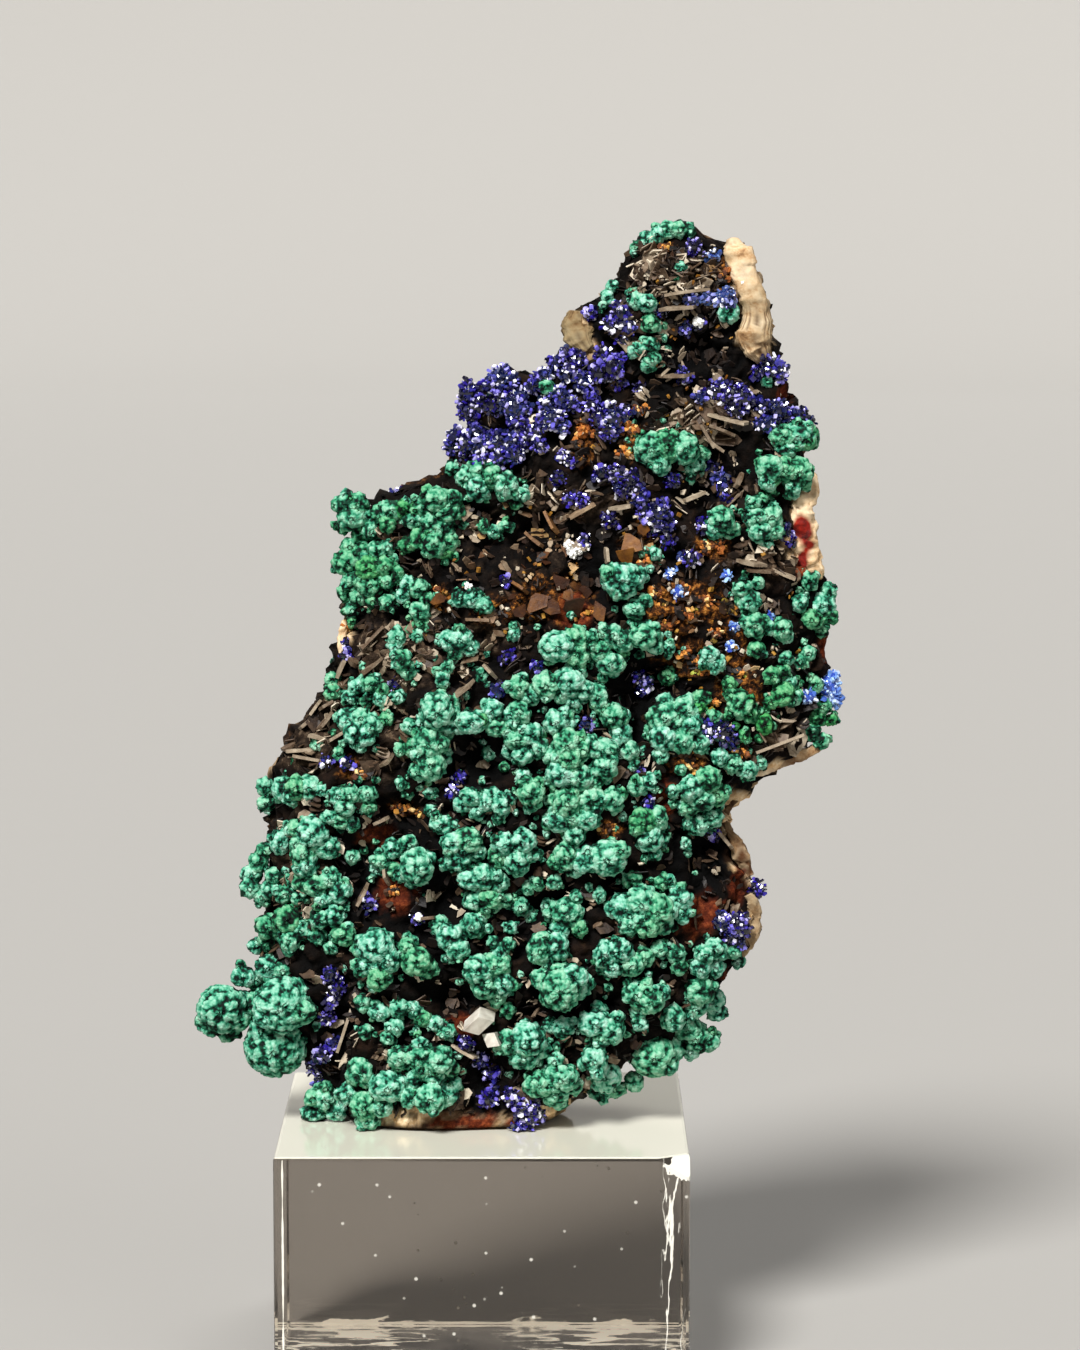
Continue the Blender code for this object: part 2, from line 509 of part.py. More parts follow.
def keep_largest_body(bm):
    """Deletes the crumbs that a cut leaves beside the main body."""
    waiting, bodies = set(bm.faces), []
    while waiting:
        body, edge = set(), [next(iter(waiting))]
        waiting.discard(edge[0])
        while edge:
            face = edge.pop()
            body.add(face)
            for side in face.edges:
                for other in side.link_faces:
                    if other in waiting:
                        waiting.discard(other)
                        edge.append(other)
        bodies.append(body)
    bodies.sort(key=volume_of)
    for crumb in bodies[:-1]:
        bmesh.ops.delete(bm, geom=list(crumb), context="FACES")
    loose = [vert for vert in bm.verts if not vert.link_faces]
    bmesh.ops.delete(bm, geom=loose, context="VERTS")


def is_closed(bm):
    corners = {frozenset(vert.index for vert in face.verts) for face in bm.faces}
    return len(corners) == len(bm.faces) and all(edge.is_contiguous for edge in bm.edges)


def is_sound(shape, balls):
    bm = bmesh.new()
    bm.from_mesh(shape.data)
    sound = len(bm.faces) > 0 and is_closed(bm) and len(bm.faces) < MOST_FACES_EACH * balls + 80
    bm.free()
    return sound


def tidy(shape, bm):
    """Puts the main body of a boolean's result into the shape, as clean triangles."""
    keep_largest_body(bm)
    bmesh.ops.remove_doubles(bm, verts=bm.verts, dist=MERGE)
    bmesh.ops.dissolve_degenerate(bm, edges=bm.edges, dist=MERGE)
    bmesh.ops.triangulate(bm, faces=bm.faces)
    bm.to_mesh(shape.data)
    bm.free()


def collapse(shape, most_faces):
    """Collapses the shape's facets to about most_faces, or to a few more where that leaves it open."""
    ratio = most_faces / max(1, len(shape.data.polygons))
    while ratio < 1:
        fewer = shape.modifiers.new("fewer facets", "DECIMATE")
        fewer.ratio = ratio
        bm = evaluated_bmesh(shape)
        keep_largest_body(bm)
        closed = is_closed(bm)
        if closed:
            bm.to_mesh(shape.data)
        bm.free()
        if closed:
            return
        ratio *= 1.07


def make_cutter(others):
    """The rock and the neighbouring balls, each grown by the gap. It is left out of the model."""
    bm = bmesh.new()
    add_rock_body(bm, GAP)
    add_blades(bm, GAP)
    for seed, (centre, radius) in enumerate(others):
        add_ball(bm, centre, radius + GAP, seed)
    place = Matrix.Translation((0, 0, ROCK_FOOT - 5))
    bmesh.ops.create_cube(bm, size=1.0, matrix=place @ Matrix.Diagonal((80, 80, 10, 1)))
    return hidden_tool(bm, "cutter")


def make_block():
    """A clear block with softened edges and a chip off its front right corner."""
    bm = bmesh.new()
    place = Matrix.Translation((0, 0, BLOCK_HEIGHT / 2))
    size = Matrix.Diagonal((BLOCK_SIDE, BLOCK_SIDE, BLOCK_HEIGHT, 1.0))
    bmesh.ops.create_cube(bm, size=1.0, matrix=place @ size)
    bmesh.ops.bevel(bm, geom=bm.edges[:], offset=BLOCK_EDGE, segments=2, profile=0.5, affect="EDGES")
    corner = Vector((BLOCK_SIDE / 2, -BLOCK_SIDE / 2, BLOCK_HEIGHT))
    chip = [
        corner + Vector((-CHIP_ALONG_FRONT, 0, 0)),
        corner + Vector((0, CHIP_ALONG_SIDE, 0)),
        corner + Vector((0, 0, -CHIP_DOWN)),
    ]
    normal = (chip[1] - chip[0]).cross(chip[2] - chip[0])
    if normal.dot(corner - chip[0]) < 0:
        normal.negate()
    whole = bm.verts[:] + bm.edges[:] + bm.faces[:]
    cut = bmesh.ops.bisect_plane(bm, geom=whole, plane_co=chip[0], plane_no=normal, clear_outer=True)
    rim = [item for item in cut["geom_cut"] if isinstance(item, bmesh.types.BMEdge)]
    bmesh.ops.contextual_create(bm, geom=rim)
    bmesh.ops.recalc_face_normals(bm, faces=bm.faces)
    object_from(bm, "display_block", "acrylic")


def hidden_tool(bm, name):
    tool = object_from(bm, name, "limonite")
    tool.hide_render = True
    tool.display_type = "WIRE"
    return tool


def make_rock():
    bm = bmesh.new()
    add_rock_body(bm)
    bmesh.ops.recalc_face_normals(bm, faces=bm.faces)
    rock = object_from(bm, "limonite_rock", "limonite")
    blades = bmesh.new()
    add_blades(blades)
    tool = hidden_tool(blades, "blades")
    tidy(rock, boolean_of(rock, tool, "UNION"))
    bpy.data.objects.remove(tool, do_unlink=True)


def merged_balls(name, slot, balls, stretch, seed):
    """Balls or crystals merged into one body, in few facets."""
    bm = bmesh.new()
    for number, (centre, radius) in enumerate(balls):
        add_ball(bm, centre, radius, seed + number, stretch)
    add_necks(bm, balls)
    shape = object_from(bm, name, slot)
    far_off = bmesh.new()
    bmesh.ops.create_cube(far_off, size=1.0, matrix=Matrix.Translation((200, 0, 0)))
    tool = hidden_tool(far_off, "far off")
    tidy(shape, boolean_of(shape, tool, "DIFFERENCE"))
    bpy.data.objects.remove(tool, do_unlink=True)
    faces_each = BALL_FACES if slot == "malachite" else CRYSTAL_FACES
    collapse(shape, faces_each * len(balls) + 8)
    return shape


def make_cluster(name, slot, balls, others, stretch):
    """A grown group, cut clear of the rock and its neighbours. Facets that fail are tried anew."""
    near = [
        (centre, radius)
        for centre, radius in others
        if any((centre - own).length < radius + reach * stretch + 2 * GAP for own, reach in balls)
    ]
    cutter = make_cutter(near)
    for attempt in range(MOST_ATTEMPTS):
        shape = merged_balls(name, slot, balls, stretch, SEED_STEP * attempt)
        tidy(shape, boolean_of(shape, cutter, "DIFFERENCE"))
        if is_sound(shape, len(balls)):
            break
        bpy.data.objects.remove(shape, do_unlink=True)
    bpy.data.objects.remove(cutter, do_unlink=True)


def add_rhomb(bm, x, y, z, edge, turns):
    """A calcite cleavage rhomb: a cube slanted along its body diagonal."""
    along = CALCITE_SLANT
    slant = Matrix(((1, along, along), (along, 1, along), (along, along, 1)))
    turn = Matrix.Identity(4)
    for angle, axis in zip(turns, "XYZ"):
        turn = Matrix.Rotation(math.radians(angle), 4, axis) @ turn
    place = Matrix.Translation((x, y, z)) @ turn @ slant.to_4x4()
    bmesh.ops.create_cube(bm, size=edge, matrix=place)


def make_calcite(others):
    bm = bmesh.new()
    for x, y, z, edge, *turns in CALCITE:
        add_rhomb(bm, x, y, z, edge, turns)
    shape = object_from(bm, "calcite", "calcite")
    cutter = make_cutter(others)
    tidy(shape, boolean_of(shape, cutter, "DIFFERENCE"))
    bpy.data.objects.remove(cutter, do_unlink=True)


def main():
    clear_scene()
    make_block()
    make_rock()
    grown = []
    for name, spots in MALACHITE.items():
        balls = placed(spots, MALACHITE_RISE, MALACHITE_SWELL)
        make_cluster(name, "malachite", balls, grown, 1.0)
        grown += balls
    for name, spots in AZURITE.items():
        balls = placed(spots, AZURITE_RISE, 1.0)
        make_cluster(name, "azurite", balls, grown, AZURITE_STRETCH)
        grown += [(centre, radius * AZURITE_STRETCH) for centre, radius in balls]
    near_calcite = Vector((CALCITE[0][0], CALCITE[0][1], CALCITE[0][2]))
    make_calcite([ball for ball in grown if (ball[0] - near_calcite).length < 6])


main()
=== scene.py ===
import math

import bpy
import numpy as np
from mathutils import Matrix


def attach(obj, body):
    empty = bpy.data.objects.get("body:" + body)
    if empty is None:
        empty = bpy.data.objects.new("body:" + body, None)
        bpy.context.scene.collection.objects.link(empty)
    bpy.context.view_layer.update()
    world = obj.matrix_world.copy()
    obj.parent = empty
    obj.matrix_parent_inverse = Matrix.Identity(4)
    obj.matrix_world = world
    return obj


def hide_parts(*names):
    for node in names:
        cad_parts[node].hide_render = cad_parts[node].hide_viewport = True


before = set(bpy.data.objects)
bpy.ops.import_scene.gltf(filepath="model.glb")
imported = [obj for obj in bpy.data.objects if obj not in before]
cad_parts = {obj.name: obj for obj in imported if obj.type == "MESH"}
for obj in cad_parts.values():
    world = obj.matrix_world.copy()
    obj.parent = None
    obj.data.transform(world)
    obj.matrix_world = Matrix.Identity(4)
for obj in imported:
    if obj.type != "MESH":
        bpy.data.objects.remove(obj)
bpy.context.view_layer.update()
mm = 0.001  # lengths below are millimetres, meshes are metres
lowest = 22.35  # balls and crystals end this high, just over the top of the block
print("frame loaded:", len(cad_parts), "nodes")


def toLinear(hexColour):
    # sRGB hex to the linear colour that shaders want
    channels = [int(hexColour[k:k + 2], 16) / 255 for k in (1, 3, 5)]
    return tuple(c / 12.92 if c <= 0.04045 else ((c + 0.055) / 1.055) ** 2.4 for c in channels) + (1.0,)


def addNode(tree, kind, settings=None, inputs=None, stops=None):
    # one node with its settings; an input is a value or another node's output, a stop is (place, hex)
    node = tree.nodes.new("ShaderNode" + kind)
    for name, value in (settings or {}).items():
        setattr(node, name, value)
    for name, value in (inputs or {}).items():
        if isinstance(value, bpy.types.NodeSocket):
            tree.links.new(value, node.inputs[name])
        else:
            node.inputs[name].default_value = value
    for k, (place, colour) in enumerate(stops or []):
        made = node.color_ramp.elements
        stop = made[k] if k < len(made) else made.new(place)
        stop.position, stop.color = place, toLinear(colour)
    return node


def newMaterial(name):
    # a material with an empty node tree
    material = bpy.data.materials.new(name)
    material.use_nodes = True
    material.node_tree.nodes.clear()
    return material, material.node_tree


def finishMaterial(material, inputs):
    # its surface is one Principled shader with these inputs
    shader = addNode(material.node_tree, "BsdfPrincipled", inputs=inputs)
    addNode(material.node_tree, "OutputMaterial", inputs={"Surface": shader.outputs[0]})
    return material


def objectPlace(tree):
    # where a point lies on the object, in metres
    return addNode(tree, "TexCoord").outputs["Object"]


def meshValue(tree, name):
    # what the mesh carries at each point under this name
    return addNode(tree, "Attribute", {"attribute_name": name}).outputs["Fac"]


def noise(tree, place, scale, detail, roughness=0.5):
    # cloudy noise, 0 to 1, with this many patches to the metre
    inputs = {"Vector": place, "Scale": scale, "Detail": detail, "Roughness": roughness}
    return addNode(tree, "TexNoise", inputs=inputs).outputs[0]


def scattered(tree, place, scale):
    # how far the nearest of scattered middles lies, with this many middles to the metre
    return addNode(tree, "TexVoronoi", inputs={"Vector": place, "Scale": scale}).outputs[0]


def ramp(tree, value, stops):
    # a value from 0 to 1 turned to a colour
    return addNode(tree, "ValToRGB", inputs={"Fac": value}, stops=stops).outputs[0]


def blend(tree, share, under, over, way="MIX"):
    # one colour laid over another by a share
    settings = {"data_type": "RGBA", "blend_type": way}
    return addNode(tree, "Mix", settings, {0: share, 6: under, 7: over}).outputs[2]


def tinted(tree, share, colour, tint):
    # the colour multiplied by a tint, by a share
    return blend(tree, share, colour, toLinear(tint), "MULTIPLY")


def sums(tree, operation, *values, held=False):
    # one step of arithmetic, its result held from 0 to 1 where asked
    settings = {"operation": operation, "use_clamp": held}
    return addNode(tree, "Math", settings, dict(enumerate(values))).outputs[0]


def mottled(tree, value, texture, gain, lift):
    # value + texture * gain + lift, held from 0 to 1
    return sums(tree, "ADD", value, sums(tree, "MULTIPLY_ADD", texture, gain, lift), held=True)


def mapped(tree, value, low, high, toLow, toHigh):
    # low to high becomes toLow to toHigh, and no further
    return addNode(tree, "MapRange", inputs={0: value, 1: low, 2: high, 3: toLow, 4: toHigh}).outputs[0]


def bumps(tree, height, distance, strength, invert=False):
    # a surface shaded as if it rose by this many millimetres
    inputs = {"Height": height, "Distance": distance * mm, "Strength": strength}
    return addNode(tree, "Bump", {"invert": invert}, inputs).outputs[0]


def randomCells(cells, seed):
    # three numbers from 0 to 1 for each whole-number cell: its corner indices mixed by large odd factors
    i, j, k = (cells[..., axis].astype(np.int64) for axis in range(3))
    mixed = (i * 73856093) ^ (j * 19349663) ^ (k * 83492791) ^ (seed * 2654435761)
    found = []
    for turn in range(3):
        mixed = (mixed ^ (mixed >> 15)) * 2246822519 & 0xFFFFFFFF
        mixed = (mixed ^ (mixed >> 13)) * 3266489917 & 0xFFFFFFFF
        found.append(((mixed ^ (mixed >> 16)) & 0xFFFFFF) / 0x1000000)
    return np.stack(found, axis=-1)


def domes(points, size, seed, reach=0.62):
    # height of the dome over each point, 0 to 1: round bumps about jittered cell centres of this size
    cells = np.floor(points / size).astype(np.int64)
    nearest = np.full(len(points), 9.0)
    for step in np.ndindex(3, 3, 3):
        near = cells + np.array(step) - 1
        centre = near + 0.15 + 0.7 * randomCells(near, seed)
        nearest = np.minimum(nearest, np.sum((points / size - centre) ** 2, axis=1))
    return np.sqrt(np.clip(1 - nearest / reach ** 2, 0, 1))


def smoothNoise(points, size, seed):
    # values at cell corners eased between them, -1 to 1
    place = points / size
    cells = np.floor(place).astype(np.int64)
    share = place - cells
    share = share * share * (3 - 2 * share)
    total = np.zeros(len(points))
    for corner in np.ndindex(2, 2, 2):
        weight = np.prod(np.where(np.array(corner) == 1, share, 1 - share), axis=1)
        total += weight * randomCells(cells + np.array(corner), seed)[:, 0]
    return 2 * total - 1


def ruggedNoise(points, size, seed):
    # four sizes of noise, each half as large and half as strong, folded so that creases are sharp
    total, most = np.zeros(len(points)), 0
    for octave in range(4):
        layer = smoothNoise(points, size / 2 ** octave, seed + octave)
        total += (1 - 2 * np.abs(layer)) / 2 ** octave
        most += 1 / 2 ** octave
    return total / most


def facets(points, size, seed):
    # broken plates: each random middle owns the points nearest to it and tilts them its own way
    scaled = points / size
    cell = np.floor(scaled)
    nearest = np.full(len(points), 9.0)
    height = np.zeros(len(points))
    for step in np.ndindex(3, 3, 3):
        corner = cell + np.array(step) - 1
        away = scaled - corner - randomCells(corner, seed)
        far = np.sum(away ** 2, axis=1)
        slope = np.sum(away * (randomCells(corner, seed + 7) - 0.5), axis=1) * 2
        height = np.where(far < nearest, slope, height)
        nearest = np.minimum(nearest, far)
    return height


def gridFaces(rows, columns):
    # quads of a grid with this many points each way, joined round across its columns
    j, i = np.meshgrid(np.arange(rows - 1), np.arange(columns), indexing="ij")
    after = (i + 1) % columns
    low, high = j * columns, (j + 1) * columns
    return np.stack([low + i, low + after, high + after, high + i], axis=-1).reshape(-1, 4)


def endFans(rows, columns):
    # triangles that close both ends of such a grid onto two middle points that follow its own
    ring = np.arange(columns)
    after = (ring + 1) % columns
    middle, last = rows * columns, (rows - 1) * columns
    return np.concatenate([np.stack([0 * ring + middle, after, ring], axis=1),
                           np.stack([0 * ring + middle + 1, ring + last, after + last], axis=1)])


def addMesh(name, points, quads, triangles, material, smooth=True, values=None):
    # an object from whole arrays, points in millimetres, with one float attribute for each of values
    quads, triangles = np.reshape(quads, (-1, 4)), np.reshape(triangles, (-1, 3))
    corners = np.concatenate([quads.ravel(), triangles.ravel()]).astype(np.int32)
    sizes = np.concatenate([np.full(len(quads), 4), np.full(len(triangles), 3)]).astype(np.int32)
    mesh = bpy.data.meshes.new(name)
    mesh.vertices.add(len(points))
    mesh.vertices.foreach_set("co", (np.asarray(points) * mm).astype(np.float32).ravel())
    mesh.loops.add(len(corners))
    mesh.loops.foreach_set("vertex_index", corners)
    mesh.polygons.add(len(sizes))
    mesh.polygons.foreach_set("loop_start", (np.cumsum(sizes) - sizes).astype(np.int32))
    mesh.polygons.foreach_set("use_smooth", np.full(len(sizes), smooth))
    mesh.update(calc_edges=True)
    mesh.validate()
    for label, numbers in (values or {}).items():
        attribute = mesh.attributes.new(label, "FLOAT", "POINT")
        attribute.data.foreach_set("value", np.asarray(numbers, np.float32))
    mesh.materials.append(material)
    made = bpy.data.objects.new(name, mesh)
    bpy.context.scene.collection.objects.link(made)
    return made


def addPiece(name, points, quads, triangles, material, node=None, smooth=True, values=None):
    # a piece that rides on the body; it stands for the solid of this name, where the frame has one
    piece = addMesh(name, points, quads, triangles, material, smooth, values)
    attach(piece, "root")
    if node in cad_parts:
        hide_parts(node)
    return piece


# height, left end, right end, front depth, back depth of the rock, foot to crest
rockSections = np.array([
    (22.5, -13.0, 7.0, 9.5, 6.0), (27.5, -16.0, 13.0, 9.8, 8.0), (30.0, -18.0, 18.0, 9.8, 8.5),
    (33.0, -20.0, 21.0, 9.6, 9.0), (36.0, -21.0, 23.0, 9.5, 9.5), (40.0, -20.5, 25.7, 9.3, 10.0),
    (44.0, -20.5, 25.7, 9.2, 10.3), (48.0, -20.0, 23.8, 9.2, 10.5), (50.5, -20.2, 22.4, 9.2, 10.4),
    (53.0, -20.5, 24.0, 9.1, 10.2), (56.0, -19.5, 28.0, 9.0, 10.0), (58.5, -18.0, 31.0, 8.8, 9.8),
    (61.0, -15.8, 31.6, 8.6, 9.5), (65.0, -14.0, 32.0, 8.3, 9.1), (70.0, -12.6, 31.8, 8.0, 8.7),
    (73.0, -12.2, 31.6, 7.8, 8.4), (76.0, -11.6, 30.6, 7.5, 8.0), (79.0, -11.0, 30.6, 7.2, 7.6),
    (81.0, -9.5, 30.6, 7.0, 7.3), (82.7, -3.8, 30.4, 6.8, 7.0), (87.5, -1.5, 29.4, 6.3, 6.4),
    (90.0, -1.0, 28.4, 6.0, 6.1), (92.2, 0.6, 27.6, 5.7, 5.8), (93.6, 5.8, 27.3, 5.5, 5.6),
    (95.0, 8.4, 27.0, 5.3, 5.4), (98.0, 8.6, 26.5, 5.0, 5.1), (100.0, 12.0, 26.1, 4.7, 4.7),
    (102.5, 13.3, 25.2, 4.2, 4.2), (104.3, 14.3, 24.5, 3.6, 3.6), (105.2, 15.2, 20.8, 3.0, 3.0),
    (106.2, 16.4, 19.8, 1.8, 1.8),
])

# hollows in the show face: x, z, half width, half height, depth
hollows = [
    (19.9, 95.0, 4.0, 3.0, 2.5), (13.9, 91.3, 2.5, 1.4, 1.8), (21.8, 84.0, 3.0, 3.5, 2.4),
    (4.2, 77.5, 8.0, 3.0, 2.4), (8.8, 73.5, 2.2, 2.2, 2.0), (15.8, 64.0, 4.5, 3.0, 3.4),
    (-0.5, 56.8, 3.0, 2.0, 3.0), (-6.7, 51.3, 3.0, 3.5, 2.5), (-11.0, 47.0, 2.5, 3.5, 3.0),
    (20.7, 46.8, 2.6, 3.2, 3.4), (-3.0, 43.8, 2.2, 2.5, 2.5), (12.6, 45.0, 2.0, 1.6, 2.0),
    (-14.0, 30.5, 1.7, 5.0, 3.5), (0.3, 27.0, 2.8, 3.5, 2.6), (-2.5, 34.5, 3.0, 2.0, 2.5),
    (5.3, 33.8, 2.5, 2.0, 2.0), (11.8, 34.0, 2.0, 1.6, 2.0), (14.5, 60.0, 1.5, 3.0, 2.4),
    (6.0, 43.0, 3.0, 2.0, 2.0),
]

# where the rock shows another colour: x, z, half width, half height
rockZones = {
    "cream": [
        (24.7, 100.9, 1.5, 3.1), (25.3, 96.3, 1.5, 1.7), (24.3, 103.0, 1.3, 1.5), (30.6, 82.8, 0.8, 1.7),
        (29.8, 79.6, 0.9, 1.5), (29.0, 76.9, 1.1, 1.5), (30.7, 74.8, 1.2, 0.9), (33.1, 71.8, 0.6, 0.7),
        (28.3, 56.0, 2.6, 0.6), (23.9, 52.7, 1.5, 1.1), (22.7, 50.6, 0.7, 0.9), (23.9, 47.2, 1.1, 0.9),
        (25.2, 45.5, 0.7, 0.9), (25.4, 40.9, 0.7, 2.4), (8.6, 96.7, 1.3, 1.3), (9.8, 95.1, 1.1, 0.9),
        (-1.9, 22.6, 4.2, 1.1), (-12.9, 68.7, 0.7, 1.3), (-6.0, 23.6, 4.2, 0.9), (6.7, 24.0, 2.0, 1.2),
        (9.0, 25.2, 2.2, 1.2), (11.3, 26.4, 2.0, 1.1),
    ],
    "red": [
        (27.9, 90.6, 0.6, 1.3), (30.0, 78.2, 0.8, 1.6), (32.1, 67.3, 0.6, 1.3), (23.9, 44.6, 0.8, 1.7),
        (23.4, 36.1, 0.7, 0.7), (20.3, 42.3, 2.0, 1.8), (-1.5, 32.4, 1.7, 0.8), (-1.2, 22.9, 3.7, 0.9),
        (8.4, 71.2, 1.3, 1.5), (29.7, 74.9, 0.5, 1.2), (-8.3, 44.6, 2.2, 1.6), (-9.6, 49.8, 1.6, 1.4),
        (16.6, 53.6, 1.0, 1.6),
    ],
    "ochre": [
        (9.3, 86.8, 1.1, 2.0), (13.8, 86.8, 0.9, 1.9), (14.6, 76.7, 1.5, 2.0), (21.2, 76.7, 1.9, 1.1),
        (7.2, 72.1, 3.7, 2.2), (-3.9, 72.1, 1.3, 1.1), (16.9, 71.2, 2.8, 2.8), (20.6, 72.1, 2.8, 2.0),
        (19.2, 66.5, 2.8, 1.9), (22.9, 68.4, 1.7, 2.8), (23.8, 63.7, 2.2, 1.9), (23.9, 57.9, 1.9, 0.9),
        (19.2, 56.8, 1.5, 1.3), (12.0, 50.7, 0.9, 0.9), (-12.3, 56.3, 1.3, 0.9), (-7.2, 52.2, 1.5, 0.9),
        (1.6, 71.2, 2.8, 1.3), (22.1, 102.2, 0.9, 1.1), (17.1, 104.2, 0.7, 0.7),
    ],
    "pale": [
        (-7.6, 67.3, 4.1, 2.8), (-0.2, 68.9, 2.8, 1.9), (-11.4, 66.6, 2.2, 1.3), (-17.1, 58.9, 3.1, 2.4),
        (-16.6, 56.7, 2.6, 0.7), (-12.9, 71.5, 0.7, 1.9), (-13.0, 62.5, 2.4, 3.0), (-9.5, 62.5, 2.0, 1.6),
        (3.0, 77.0, 4.6, 3.1), (20.1, 88.1, 2.8, 2.2), (23.4, 81.2, 1.9, 1.5), (26.6, 75.6, 3.7, 1.7),
        (19.2, 101.4, 2.4, 1.5), (15.9, 102.2, 2.0, 1.5), (-5.8, 66.0, 2.8, 1.9), (-8.1, 59.6, 1.5, 1.3),
        (-20.0, 50.4, 1.7, 0.7), (28.6, 59.2, 3.1, 1.3), (-9.7, 56.8, 1.7, 1.5), (-17.0, 45.7, 2.8, 5.6),
        (9.5, 80.8, 2.8, 1.3), (4.9, 81.3, 2.4, 1.5),
    ],
}

rockLook = {
    "crust": 1.2,  # how far the crystals stand in front of the rock
    "rounding": 2.7,  # power of the rounded section
    "frontColumns": 150, "backColumns": 60, "rows": 250,
    "crag": 0.6, "cragSize": 4.0, "grit": 0.25, "gritSize": 1.4, "ledge": 0.4, "ledgeSize": 2.4,
    "plate": 0.75, "plateSize": 1.9, "chip": 0.4, "chipSize": 0.9,
    "sink": 0.25,  # by which all the relief is lowered
    "frontEnds": 0.985,  # the show face keeps this form from here to the ends
    "backBump": 1.1, "backBumpLength": 13.0,
    "fullShadeDepth": 2.4,  # a hollow this deep gets the full painted shade
    "notch": (5.8, 91.5, 2.0, 2.4, 2.3),  # x, z, half width, half height, depth of the gap beside the spur
}


def sectionAt(z):
    # left, right, front and back of the rock at this height
    return [np.interp(z, rockSections[:, 0], rockSections[:, k]) for k in range(1, 5)]


def shareAcross(x, left, right, limit):
    # -1 at the left end and 1 at the right, held within a limit
    return np.clip((2 * x - left - right) / (right - left), -limit, limit)


def rounded(share):
    power = rockLook["rounding"]
    return (1 - np.abs(share) ** power) ** (1 / power)


def bell(x, z, spot):
    # 1 in the middle of a spot (x, z, half width, half height), easing to 0 around it
    px, pz, halfWidth, halfHeight = spot
    return np.exp(-((x - px) / halfWidth) ** 2 - ((z - pz) / halfHeight) ** 2)


def rockFront(x, z):
    # y of the show face: the rounded section with the hollows sunk into it
    x, z = np.asarray(x, float), np.asarray(z, float)
    left, right, front, _ = sectionAt(z)
    share = shareAcross(x, left, right, rockLook["frontEnds"])
    y = (rockLook["crust"] - front) * rounded(share)
    for *spot, depth in hollows:
        y = y + depth * bell(x, z, spot) * (1 - share ** 4)
    return y


def rockBack(x, z):
    # y of the rear: the rounded section with low waves across it
    left, right, _, rear = sectionAt(z)
    share = shareAcross(x, left, right, 1)
    wave = np.sin(x * math.tau / rockLook["backBumpLength"])
    wave = wave * np.cos(z * math.tau / (0.8 * rockLook["backBumpLength"]))
    return (rear + rockLook["backBump"] * wave * (1 - share ** 4)) * rounded(share)


def clearOfNotch(x, z, gap):
    # whether places are this far from the middle of the notch
    return np.hypot(x - rockLook["notch"][0], z - rockLook["notch"][1]) > gap


def zoneShare(x, z, zones, seed, y=0.0):
    # 1 inside an ellipse, 0 outside, its edge broken up by noise
    points = np.stack([x, 0 * x + y, z], axis=1)
    ragged = 0.5 * smoothNoise(points, 1.6, seed) + 0.35 * smoothNoise(points, 0.6, seed + 1)
    share = np.zeros(len(x))
    for px, pz, halfWidth, halfHeight in zones:
        far = np.sqrt(((x - px) / halfWidth) ** 2 + ((z - pz) / halfHeight) ** 2)
        share = np.maximum(share, np.clip((1.25 - far + ragged) * 2.0, 0, 1))
    return share


def rockMaterial():
    # limonite: earthy iron oxide, broken by hand. Dull and rough, with painted shade that turns its hollows
    # and low places nearly black
    material, tree = newMaterial("limoniteBroken")
    place = objectPlace(tree)
    stain = noise(tree, place, 420.0, 6.0, 0.65)
    speck = noise(tree, place, 1500.0, 4.0, 0.7)
    colour = ramp(tree, stain, [(0.35, "#030201"), (0.52, "#0D0704"), (0.66, "#1E120A"), (0.8, "#3A2818")])
    finishes = {
        "pale": [(0.35, "#120C08"), (0.55, "#3A2D22"), (0.75, "#75634F")],
        "ochre": [(0.42, "#0A0503"), (0.52, "#3E220C"), (0.6, "#8C5420"), (0.72, "#CE9448")],
        "cream": [(0.25, "#A87B4B"), (0.45, "#DDB888"), (0.7, "#F4DFBC")],
        "red": [(0.3, "#260D06"), (0.5, "#602612"), (0.7, "#984E2A")],
    }
    for name, stops in finishes.items():
        colour = blend(tree, meshValue(tree, name), colour, ramp(tree, speck, stops))
    # painted shade: the hollows and the low places between the crags are darkened
    colour = tinted(tree, meshValue(tree, "hollow"), colour, "#3A2E28")
    return finishMaterial(material, {"Base Color": colour, "Normal": bumps(tree, speck, 0.25, 0.9),
                                     "Roughness": 0.78, "Specular IOR Level": 0.08})


def rockSurface():
    # round each level from left to right along the front and back along the rear, times height
    front, back = rockLook["frontColumns"], rockLook["backColumns"]
    shareFront = -np.cos(np.pi * np.arange(front) / (front - 1))
    shareBack = np.cos(np.pi * np.arange(1, back + 1) / (back + 1))
    heights = np.linspace(rockSections[0, 0], rockSections[-1, 0], rockLook["rows"])
    share, z = np.meshgrid(np.concatenate([shareFront, shareBack]), heights)
    left, right, _, _ = sectionAt(z)
    x = (left + right) / 2 + (right - left) / 2 * share
    y = rockBack(x, z)
    y[:, :front] = np.where(np.abs(share[:, :front]) > 0.999, 0.0, rockFront(x[:, :front], z[:, :front]))
    *spot, depth = rockLook["notch"]
    return np.stack([x, y, z - depth * bell(x, z, spot)], axis=-1)


def outwardWays(grid):
    # unit ways out of a grid of points that is joined round across its columns
    along = np.roll(grid, -1, axis=1) - np.roll(grid, 1, axis=1)
    outward = np.cross(along, np.gradient(grid, axis=0))
    return outward / np.maximum(np.linalg.norm(outward, axis=-1, keepdims=True), 1e-9)


